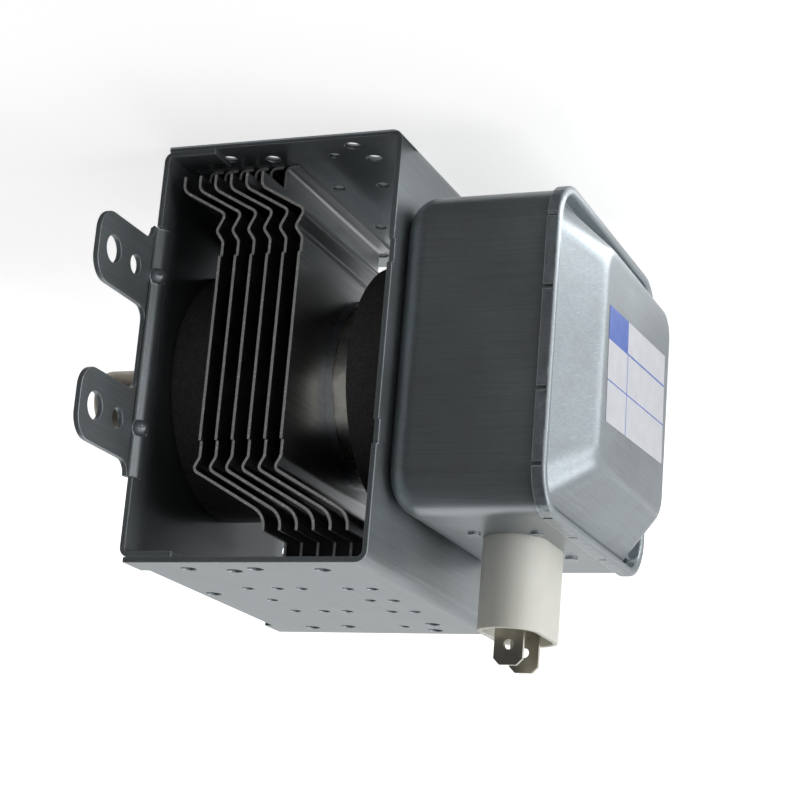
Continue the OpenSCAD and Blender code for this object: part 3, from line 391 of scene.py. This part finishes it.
def streaks(material, size, length, turn):
    """Thin scratches that run along a direction turned away from the axes by some degrees."""
    place = add(material, "TexCoord").outputs["Object"]
    angles = [math.radians(angle) for angle in turn]
    turned = add(material, "Mapping", Vector=place, Rotation=angles).outputs["Vector"]
    scale = [1 / (length * MM), 1 / (size * MM), 1 / (size * MM)]
    drawn = add(material, "Mapping", Vector=turned, Scale=scale).outputs["Vector"]
    noisy = add(material, "TexNoise", Vector=drawn, Scale=1.0, Detail=1.0).outputs["Fac"]
    return spread(material, noisy, 0.0, 1.0, SCRATCH_START, SCRATCH_END)


def inner_faces(material, wall_sense):
    """1 on the faces that look at the tube: the insides of the legs and of one wall."""
    flat_normal = add(material, "NewGeometry").outputs["True Normal"]
    normal = add(material, "SeparateXYZ", Vector=flat_normal)
    place = add(material, "SeparateXYZ", Vector=add(material, "TexCoord").outputs["Object"])
    leg = calculate(material, "MULTIPLY", normal.outputs["Z"], place.outputs["Z"])
    in_leg = calculate(material, "LESS_THAN", leg, LEG_SIDE)
    wall = calculate(material, "MULTIPLY", normal.outputs["X"], wall_sense)
    in_wall = calculate(material, "GREATER_THAN", wall, WALL_SIDE)
    off = calculate(material, "ABSOLUTE", place.outputs["Y"], 0.0)
    in_yoke = spread(material, off, 1.0, 0.0, FADE_START, FADE_END)
    inner = calculate(material, "MAXIMUM", in_leg, in_wall)
    return calculate(material, "MULTIPLY", inner, in_yoke)


def painted_edge_highlight(material):
    """1 along the sharp edges, where a highlight is painted; a bevelled normal finds them."""
    soft = add(material, "Bevel", {"samples": 6}, Radius=HIGHLIGHT_EDGE_RADIUS * MM).outputs["Normal"]
    turned = add(material, "VectorMath", {"operation": "DOT_PRODUCT"})
    feed(material, turned.inputs[0], soft)
    feed(material, turned.inputs[1], add(material, "NewGeometry").outputs["Normal"])
    return spread(material, turned.outputs["Value"], 1.0, 0.0, HIGHLIGHT_START, HIGHLIGHT_END)


print("yoke reaches", round(YOKE_HALF / MM, 2), "mm to each side")

# %% [markdown]
# ## The drawn lid
# The lid was drawn over a punch, so its raised middle runs into its slopes in a soft roll, and
# its skirt was crimped over the case in strips that are a little dented. The solid has small
# radii there. Finer faces would soften it too, but a Bevel node does it in the shading, with a
# wide radius inside the rim and almost none at the rim.

# %% The drawn lid
DRAW_RADIUS = 3.5
RIM_RADIUS = 0.1
RIM_START = -4.0
RIM_END = -3.0
DENT_SIZE = 3.5
DENT_DEPTH = 0.5
SKIRT_SIDE = 0.3
lid_low, lid_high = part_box("filter_lid")
lid_middle = (lid_low + lid_high) / 2
lid_half = (lid_high - lid_low) / 2


def drawn_pan(material):
    """Rounds the lid's shading where it was drawn over its punch, and dents its crimped skirt."""
    place = add(material, "SeparateXYZ", Vector=add(material, "TexCoord").outputs["Object"])
    beyond = []
    spans = (("Y", lid_middle.y, lid_half.y), ("Z", lid_middle.z, lid_half.z))
    for axis, middle, half in spans:
        off = calculate(material, "SUBTRACT", place.outputs[axis], middle)
        off = calculate(material, "ABSOLUTE", off, 0.0)
        beyond.append(calculate(material, "SUBTRACT", off, half))
    edge = calculate(material, "MAXIMUM", *beyond)
    radius = spread(
        material, edge, DRAW_RADIUS * MM, RIM_RADIUS * MM, RIM_START * MM, RIM_END * MM)
    soft = add(material, "Bevel", {"samples": 16}, Radius=radius).outputs["Normal"]
    flat_normal = add(material, "NewGeometry").outputs["True Normal"]
    normal = add(material, "SeparateXYZ", Vector=flat_normal)
    aside = calculate(material, "ABSOLUTE", normal.outputs["X"], 0.0)
    skirt = calculate(material, "LESS_THAN", aside, SKIRT_SIDE)
    dents = calculate(material, "MULTIPLY", noise(material, DENT_SIZE, 2.0), skirt)
    dented = add(
        material, "Bump", Height=dents, Strength=1.0, Distance=DENT_DEPTH * MM, Normal=soft)
    return dented.outputs["Normal"]


print("lid in mm:", [round(side / MM, 1) for side in lid_high - lid_low])

# %% [markdown]
# ## Zinc-coated sheet
# Zinc on sheet steel is a cool grey, part mirror and part matt, so its metal share is only a
# little over half. The rolling mill leaves long fine lines, and drawing a sheet adds lines along
# its own direction. A photographed texture would need unfolded faces. Noise in the object's
# space needs none: wide clouds and lines for the tone, a few brown stains, and the scratches.

# %% Zinc recipe
ZINC_METAL = 0.55
INNER_ROUGHNESS = 0.18
STAIN = (0.24, 0.225, 0.21)
STAIN_SHARE = 0.32
SCRATCH_SHARE = 0.5
DARK_TONE, PALE_TONE = 0.84, 1.16
SCRATCH_TONE = 1.7
# Painted highlight on the sharp edges: the colour made this many times paler.
HIGHLIGHT_TONE = 3.2
LINE_STRETCH = 40.0
LINE_RELIEF = 0.008


def shade(colour, factor):
    """A colour made darker or lighter, and never more than white."""
    return [min(channel * factor, 1.0) for channel in colour]


def zinc_sheet(name, colour, roughness, line_axis, line_depth,
               inner_wall=0, painted_inner_shade=1.0, rounded=None):
    """Zinc-coated steel with mill lines along one axis, and smooth rolled inner faces if asked."""
    material, shader = start_material(name, Metallic=ZINC_METAL)
    stretch = [LINE_STRETCH if axis == line_axis else 1.0 for axis in "xyz"]
    clouds = noise(material, 22.0, 3.0)
    stains = noise(material, 6.0, 4.0)
    lines = noise(material, 0.45, 3.0, stretch)
    long_scratches = streaks(material, 0.25, 14.0, (0, 20, 35))
    short_scratches = streaks(material, 0.22, 9.0, (25, -30, -50))
    scratches = calculate(material, "MAXIMUM", long_scratches, short_scratches)
    cloudy = spread(material, clouds, 0.0, 0.5)
    lined = spread(material, lines, 0.0, 0.5)
    tone = calculate(material, "ADD", cloudy, lined)
    stained = spread(material, stains, 0.0, STAIN_SHARE, 0.5, 0.75)
    scratched = calculate(material, "MULTIPLY", scratches, SCRATCH_SHARE)
    sheet = mix_colours(material, tone, shade(colour, DARK_TONE), shade(colour, PALE_TONE))
    sheet = mix_colours(material, stained, sheet, STAIN)
    sheet = mix_colours(material, scratched, sheet, shade(colour, SCRATCH_TONE))
    rough = spread(material, clouds, roughness - 0.02, roughness + 0.06)
    if inner_wall:
        smooth = calculate(material, "MULTIPLY", rough, INNER_ROUGHNESS / roughness)
        inside = inner_faces(material, inner_wall)
        picked = add(material, "Mix", {"data_type": "FLOAT"}, Factor=inside)
        feed(material, picked.inputs[2], rough)
        feed(material, picked.inputs[3], smooth)
        rough = picked.outputs[0]
        # Painted shade: the inner faces get a darker copy of the sheet's colour.
        sheet = mix_colours(material, inside, sheet, shade(colour, painted_inner_shade))
    # Painted highlight: the sharp edges get a paler copy of the sheet's colour.
    sheet = mix_colours(material, painted_edge_highlight(material), sheet, shade(colour, HIGHLIGHT_TONE))
    feed(material, shader.inputs["Base Color"], sheet)
    feed(material, shader.inputs["Roughness"], rough)
    depth = line_depth * LINE_RELIEF * MM
    relief = add(material, "Bump", Height=lines, Strength=1.0, Distance=depth)
    if rounded:
        feed(material, relief.inputs["Normal"], rounded(material))
    feed(material, shader.inputs["Normal"], relief.outputs["Normal"])
    return material


print("zinc recipe ready, with a metal share of", ZINC_METAL)

# %% [markdown]
# ## Four zinc finishes
# The four sheets come from different rolls and presses. The yoke and the plate have fine lines
# along the air flow, and smooth insides with a painted shade. The case was drawn deep, so its
# lines run along the draw and are stronger. The lid is a little paler. One shared material would
# be simpler, but then the sheets would hardly stand apart where they meet.

# %% Four zinc finishes
ZINC = (0.25, 0.28, 0.295)
LID_ZINC = (0.275, 0.31, 0.332)
# The insides of the yoke and the plate get a painted shade, given as a share of their colour.
yoke_zinc = zinc_sheet("yoke_zinc", ZINC, 0.36, "y", 0.25, inner_wall=1, painted_inner_shade=0.9)
plate_zinc = zinc_sheet("plate_zinc", ZINC, 0.42, "y", 0.25, inner_wall=-1, painted_inner_shade=0.45)
case_zinc = zinc_sheet("case_zinc", ZINC, 0.33, "x", 0.8)
lid_zinc = zinc_sheet("lid_zinc", LID_ZINC, 0.34, "y", 0.3, rounded=drawn_pan)
print("zinc finishes:", yoke_zinc.name, plate_zinc.name, case_zinc.name, lid_zinc.name)

# %% [markdown]
# ## Fins
# The fins are soft aluminium, punched from a roll. Their faces are smooth, but the shears leave
# a torn edge all around, which is paler and rough and catches the light as a thin line. The
# edges could be picked by hand. They all face along the air flow, so the surface normal finds
# them, apart from the collars near the tube's axis, which are left out by their distance.

# %% Fin aluminium
COLLAR_CLEAR = 24.0
LINE_SHARE = 0.2


def fin_aluminium():
    """Smooth rolled aluminium with pale torn edges."""
    material, shader = start_material("fin_aluminium")
    normal = add(material, "NewGeometry").outputs["True Normal"]
    across = add(material, "SeparateXYZ", Vector=normal).outputs["Y"]
    facing = spread(material, calculate(material, "ABSOLUTE", across, 0.0), 0.0, 1.0, 0.6, 0.8)
    place = add(material, "TexCoord").outputs["Object"]
    across_axis = add(material, "VectorMath", {"operation": "MULTIPLY"}, Vector=place)
    across_axis.inputs[1].default_value = (0, 1, 1)
    from_axis = add(material, "VectorMath", {"operation": "LENGTH"}, Vector=across_axis.outputs[0])
    outside = calculate(material, "GREATER_THAN", from_axis.outputs["Value"], COLLAR_CLEAR * MM)
    edge = calculate(material, "MULTIPLY", facing, outside)
    lines = noise(material, 0.5, 2.0, (1, 30, 1))
    tears = noise(material, 0.5, 3.0)
    rolled = spread(material, lines, 0, 1)
    face = mix_colours(material, rolled, (0.30, 0.31, 0.32), (0.38, 0.39, 0.40))
    specks = spread(material, tears, 0, 1, 0.58, 0.70)
    torn = mix_colours(material, specks, (0.52, 0.52, 0.51), (0.95, 0.95, 0.94))
    feed(material, shader.inputs["Base Color"], mix_colours(material, edge, face, torn))
    feed(material, shader.inputs["Roughness"], spread(material, edge, 0.30, 0.55, 0, 1))
    feed(material, shader.inputs["Metallic"], spread(material, edge, 1.0, 0.35, 0, 1))
    fine_lines = calculate(material, "MULTIPLY", lines, LINE_SHARE)
    torn_edge = calculate(material, "MULTIPLY", tears, edge)
    height = calculate(material, "ADD", fine_lines, torn_edge)
    feed(material, shader.inputs["Normal"], bump(material, height, 0.05))
    return material


fin_metal = fin_aluminium()
print("fin finish:", fin_metal.name)

# %% [markdown]
# ## Magnets
# Ferrite is a pressed and fired powder: almost black, matt, with a fine grain and some pale
# dust. The choke cores are the same stuff. A plain black would look like a hole in the picture,
# so the grain also lifts the surface a little and the dust greys it in places.


# %% Ferrite
def ferrite_black():
    """Pressed black powder with a fine grain and some dust."""
    material, shader = start_material("ferrite_black", Roughness=0.62)
    grain = noise(material, 0.6, 4.0)
    dust = noise(material, 7.0, 3.0)
    speckled = spread(material, grain, 0, 1)
    dusty = spread(material, dust, 0, 0.5, 0.55, 0.75)
    colour = mix_colours(material, speckled, (0.030, 0.029, 0.029), (0.075, 0.071, 0.069))
    colour = mix_colours(material, dusty, colour, (0.06, 0.058, 0.055))
    feed(material, shader.inputs["Base Color"], colour)
    feed(material, shader.inputs["Normal"], bump(material, grain, 0.04))
    return material


ferrite = ferrite_black()
print("magnet finish:", ferrite.name)

# %% [markdown]
# ## Turned and drawn metal
# The anode, the seal sleeves, the cap and the leads are small metal pieces, turned or drawn and
# brazed. One function makes them all: a base colour with a darker tarnish in clouds, and fine
# rings or lines from the tool. Separate materials could be tuned more finely, but most of these
# pieces lie deep in shade, and one recipe keeps them alike.

# %% Turned and drawn metal
RING_PITCH = 0.6
RING_STRETCH = 25.0


def worked_metal(name, colour, tarnish, roughness, ring_axis="x"):
    """Metal with fine tool marks around or along one axis, and clouds of tarnish."""
    material, shader = start_material(name, Metallic=1.0)
    stretch = [RING_PITCH if axis == ring_axis else RING_STRETCH for axis in "xyz"]
    rings = noise(material, 0.4, 2.0, stretch)
    clouds = noise(material, 5.0, 4.0)
    tarnished = spread(material, clouds, 0, 1, 0.4, 0.75)
    rough = spread(material, clouds, roughness - 0.06, roughness + 0.10)
    feed(material, shader.inputs["Base Color"], mix_colours(material, tarnished, colour, tarnish))
    feed(material, shader.inputs["Roughness"], rough)
    feed(material, shader.inputs["Normal"], bump(material, rings, 0.008))
    return material


plated_anode = worked_metal("plated_anode", (0.62, 0.60, 0.55), (0.42, 0.40, 0.35), 0.24)
bare_copper = worked_metal("bare_copper", (0.80, 0.42, 0.27), (0.45, 0.22, 0.14), 0.28)
nickel_steel = worked_metal("nickel_steel", (0.55, 0.52, 0.46), (0.36, 0.33, 0.28), 0.28)
refractory = worked_metal("refractory", (0.28, 0.28, 0.30), (0.18, 0.18, 0.19), 0.38)
stained_cap = worked_metal("stained_cap", (0.26, 0.235, 0.19), (0.17, 0.15, 0.12), 0.42)
tinned_strip = worked_metal("tinned_strip", (0.56, 0.54, 0.47), (0.38, 0.36, 0.30), 0.30, "y")
print("turned and drawn finishes ready")

# %% [markdown]
# ## Ceramic and plastic
# The connector's sleeve is a cream moulding. Light goes a little way into it, which softens its
# shading, so it gets a touch of subsurface. A plain colour would look like painted metal. The
# ceramics are white, dry and slightly grainy, and too dense to need it.


# %% Ceramic and plastic
def moulded_cream():
    """Cream plastic that lets a little light in."""
    material, shader = start_material(
        "moulded_cream", Subsurface_Weight=0.25, Subsurface_Scale=0.002)
    shader.inputs["Subsurface Radius"].default_value = (1.0, 0.85, 0.6)
    flow = noise(material, 9.0, 2.0)
    pores = noise(material, 0.5, 2.0)
    flowing = spread(material, flow, 0, 1)
    colour = mix_colours(material, flowing, (0.80, 0.79, 0.72), (0.86, 0.85, 0.79))
    feed(material, shader.inputs["Base Color"], colour)
    feed(material, shader.inputs["Roughness"], spread(material, flow, 0.40, 0.52))
    feed(material, shader.inputs["Normal"], bump(material, pores, 0.010))
    return material


def dry_ceramic():
    """White fired ceramic, a little smeared."""
    material, shader = start_material("dry_ceramic", Roughness=0.55)
    grain = noise(material, 0.4, 3.0)
    smear = noise(material, 4.0, 3.0)
    smeared = spread(material, smear, 0, 1, 0.45, 0.8)
    colour = mix_colours(material, smeared, (0.84, 0.82, 0.77), (0.66, 0.62, 0.55))
    feed(material, shader.inputs["Base Color"], colour)
    feed(material, shader.inputs["Normal"], bump(material, grain, 0.02))
    return material


cream = moulded_cream()
ceramic = dry_ceramic()
print("ceramic and plastic ready")

# %% [markdown]
# ## Dressing the solids
# Each solid keeps its mesh. Its slot gets a finish, and modifiers round the sharp edges of
# the sheet a little, because no real edge is a knife: first a weld joins the split points, then
# flat triangles are merged, then the edges are bevelled and the normals evened out. Bevels in
# the solids would do as well, but would burden every other use of them.

# %% Dress the solids
BEVELS = {
    "yoke_channel": 0.16, "mounting_plate": 0.16, "filter_case": 0.10, "connector_sleeve": 0.25,
    "terminal_blade_1": 0.08, "terminal_blade_2": 0.08, "capacitor_flange": 0.08,
}
FIN_BEVEL = 0.06
WELD_REACH = 1e-6
FLAT_ANGLE = math.radians(0.5)
SHARP_ANGLE = math.radians(35)
FINISHES = {
    "galvanised": yoke_zinc, "ferrite": ferrite, "fin_aluminium": fin_metal, "copper": bare_copper,
    "nickel_steel": nickel_steel, "refractory_metal": refractory, "white_ceramic": ceramic,
    "cream_plastic": cream, "tinned_brass": tinned_strip, "wire_mesh": nickel_steel,
}
OWN_FINISHES = {
    "mounting_plate": plate_zinc, "filter_case": case_zinc, "filter_lid": lid_zinc,
    "flange_rivets": case_zinc, "anode_cylinder": plated_anode, "antenna_cap": stained_cap,
}
slot_of_node = {part["node"]: part["material_slot"] for part in frame["record"]["subparts"]}


def round_edges(solid, width):
    """Modifiers that bevel the sharp edges by a width in millimetres, or only even the normals."""
    weld = solid.modifiers.new("weld", "WELD")
    weld.merge_threshold = WELD_REACH
    if width:
        merge = solid.modifiers.new("merge_flats", "DECIMATE")
        merge.decimate_type = "DISSOLVE"
        merge.angle_limit = FLAT_ANGLE
        edge = solid.modifiers.new("edge", "BEVEL")
        edge.width = width * MM
        edge.segments = 2
        edge.limit_method = "ANGLE"
        edge.angle_limit = SHARP_ANGLE
        edge.use_clamp_overlap = False
    even = solid.modifiers.new("even_normals", "WEIGHTED_NORMAL")
    even.keep_sharp = True


for name, solid in frame["nodes"].items():
    finish = OWN_FINISHES.get(name, FINISHES[slot_of_node[name]])
    solid.data.materials.clear()
    solid.data.materials.append(finish)
    bevel_width = FIN_BEVEL if name.startswith("fin_") else BEVELS.get(name, 0)
    round_edges(solid, bevel_width)
print("dressed", len(frame["nodes"]), "solids")

# %% [markdown]
# ## The knitted gasket
# A ring of knitted wire around the antenna closes the joint with the waveguide. The solid is a
# plain ring, so a piece with wires stands in for it. Curves with a bevel would do as well, but a
# mesh keeps the count of faces in hand. First come a way to find points on the ring's skin, and
# a way to join rings of points into a tube.

# %% The ring's skin
gasket_low, gasket_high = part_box("mesh_gasket")
gasket_middle = (gasket_low + gasket_high) / 2
ring_section = (gasket_high.x - gasket_low.x) / 2
ring_radius = (gasket_high.y - gasket_low.y) / 2 - ring_section


def ring_point(along, around, section):
    """A point on the ring's skin, and the direction in which it looks out."""
    outward = Vector((0, math.cos(along), math.sin(along)))
    look = outward * math.cos(around) + Vector((1, 0, 0)) * math.sin(around)
    return gasket_middle + outward * ring_radius + look * section, look


def close_rings(mesh, rings, material_index):
    """Joins closed rings of points, and the last one to the first."""
    for i, ring in enumerate(rings):
        following = rings[(i + 1) % len(rings)]
        for j in range(len(ring)):
            k = (j + 1) % len(ring)
            face = mesh.faces.new((ring[j], following[j], following[k], ring[k]))
            face.material_index = material_index
            face.smooth = True


print("gasket ring radius:", round(ring_radius / MM, 2), "mm")

# %% [markdown]
# ## One wire
# A wire runs around the long way once while it winds around the ring's section many times, and
# it ends where it began. It rises and dips a little, as a wire does that passes over and under
# its neighbours. Real knitted loops would cost many more faces and hardly show at this size.

# %% One wire
WIRE_RADIUS = 0.16 * MM
TURNS = 13
STEPS_PER_TURN = 14
WIRE_SIDES = 5
WIRE_SEAT = 0.97
WIRE_WAVE = 0.03
WAVES_PER_TURN = 3


def wind_wire(mesh, way, start):
    """One thin wire that winds around the ring and closes on itself."""
    steps = TURNS * STEPS_PER_TURN
    path = []
    for i in range(steps):
        along = math.tau * i / steps
        wave = math.cos(along * TURNS * WAVES_PER_TURN + start)
        section = (ring_section - WIRE_RADIUS) * WIRE_SEAT * (1.0 + WIRE_WAVE * wave)
        path.append(ring_point(along, way * TURNS * along + start, section))
    rings = []
    for i, (point, look) in enumerate(path):
        run = (path[(i + 1) % steps][0] - path[i - 1][0]).normalized()
        side = run.cross(look).normalized()
        ring = []
        for j in range(WIRE_SIDES):
            turn = math.tau * j / WIRE_SIDES
            skin = look * math.cos(turn) + side * math.sin(turn)
            ring.append(mesh.verts.new(point + WIRE_RADIUS * skin))
        rings.append(ring)
    close_rings(mesh, rings, 0)


print("one wire has", TURNS * STEPS_PER_TURN * WIRE_SIDES, "faces")

# %% [markdown]
# ## Winding the gasket
# Two families of wires cross each other, one wound to the left and one to the right, over a dark
# core that closes the view between them. The piece takes the place of the plain ring, which is
# hidden, and it rides on the root body.

# %% Wind the gasket
WIRES_EACH_WAY = 15
WAY_SHIFT = 0.25
CORE_SHARE = 0.86
CORE_SIDES = 20
CORE_STEPS = 96
gasket_mesh = bpy.data.meshes.new("knitted_gasket")
knit = bmesh.new()
for way in (-1, 1):
    for i in range(WIRES_EACH_WAY):
        wind_wire(knit, way, math.tau * (i + WAY_SHIFT * way) / WIRES_EACH_WAY)
core = []
for i in range(CORE_STEPS):
    ring = []
    for j in range(CORE_SIDES):
        along, around = math.tau * i / CORE_STEPS, math.tau * j / CORE_SIDES
        ring.append(knit.verts.new(ring_point(along, around, ring_section * CORE_SHARE)[0]))
    core.append(ring)
close_rings(knit, core, 1)
bmesh.ops.recalc_face_normals(knit, faces=knit.faces)
knit.to_mesh(gasket_mesh)
knit.free()
gasket = bpy.data.objects.new("knitted_gasket", gasket_mesh)
bpy.context.scene.collection.objects.link(gasket)
gasket_wire = worked_metal("gasket_wire", (0.56, 0.52, 0.44), (0.34, 0.30, 0.24), 0.30)
gasket_mesh.materials.append(gasket_wire)
# The core's darker metal is painted shade for the depth of the knit between the wires.
gasket_mesh.materials.append(refractory)
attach(gasket, "root")
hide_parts("mesh_gasket")
print("gasket of", len(gasket_mesh.polygons), "faces")

# %% [markdown]
# ## The label
# The lid carries a printed film with a blue field and a few thin rules. A texture could hold
# them, but here the sheet's own faces are the fields, so the edges stay crisp at any distance.
# The rows and columns are measured in millimetres from one corner.

# %% Label fields and inks
LABEL_WIDTH = 42.0
LABEL_HEIGHT = 24.0
LABEL_ROWS = [0.0, 6.6, 7.0, 15.2, 15.5, LABEL_HEIGHT]
LABEL_COLUMNS = [0.0, 13.6, 14.0, LABEL_WIDTH]
FILM, BLUE = 0, 1


def label_field(row, column):
    """Ink of one field: rules between the rows, and one blue block."""
    if row in (1, 3) or (column == 1 and row > 1):
        return BLUE
    if row == 0 and column == 0:
        return BLUE
    return FILM


def printed_film(name, dark, light):
    """Slightly glossy film or ink with a faint mottle."""
    material, shader = start_material(name, Roughness=0.38)
    mottled = spread(material, noise(material, 3.0, 3.0), 0, 1)
    feed(material, shader.inputs["Base Color"], mix_colours(material, mottled, dark, light))
    feed(material, shader.inputs["Normal"], bump(material, noise(material, 1.2, 2.0), 0.01))
    return material


print("label fields:", len(LABEL_ROWS) - 1, "rows,", len(LABEL_COLUMNS) - 1, "columns")

# %% [markdown]
# ## Sticking the label on
# The film lies slightly askew, as a label put on by hand does, and a hair in front of the lid,
# because two faces in the same place would flicker. A shrinkwrap could press a sheet onto any
# form, but this part of the lid is flat.

# %% Stick the label on
LABEL_TURN = math.radians(-3.0)
LABEL_LIFT = 0.06
label_plane = lid_low.x - LABEL_LIFT * MM
label_mesh = bpy.data.meshes.new("label")
sheet = bmesh.new()
grid = {}
for i, across in enumerate(LABEL_COLUMNS):
    for j, down in enumerate(LABEL_ROWS):
        spot = Vector((across - LABEL_WIDTH / 2, down - LABEL_HEIGHT / 2)) * MM
        spot.rotate(Matrix.Rotation(LABEL_TURN, 2))
        corner = (label_plane, lid_middle.y + spot.x, lid_middle.z + spot.y)
        grid[i, j] = sheet.verts.new(corner)
for i in range(len(LABEL_COLUMNS) - 1):
    for j in range(len(LABEL_ROWS) - 1):
        field = (grid[i, j], grid[i, j + 1], grid[i + 1, j + 1], grid[i + 1, j])
        face = sheet.faces.new(field)
        face.material_index = label_field(j, i)
bmesh.ops.recalc_face_normals(sheet, faces=sheet.faces)
sheet.to_mesh(label_mesh)
sheet.free()
label = bpy.data.objects.new("label", label_mesh)
pale_film = printed_film("label_film", (0.70, 0.72, 0.77), (0.77, 0.79, 0.84))
blue_ink = printed_film("label_blue", (0.055, 0.13, 0.52), (0.075, 0.17, 0.62))
label_mesh.materials.append(pale_film)
label_mesh.materials.append(blue_ink)
bpy.context.scene.collection.objects.link(label)
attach(label, "root")
print("label of", len(label_mesh.polygons), "fields")
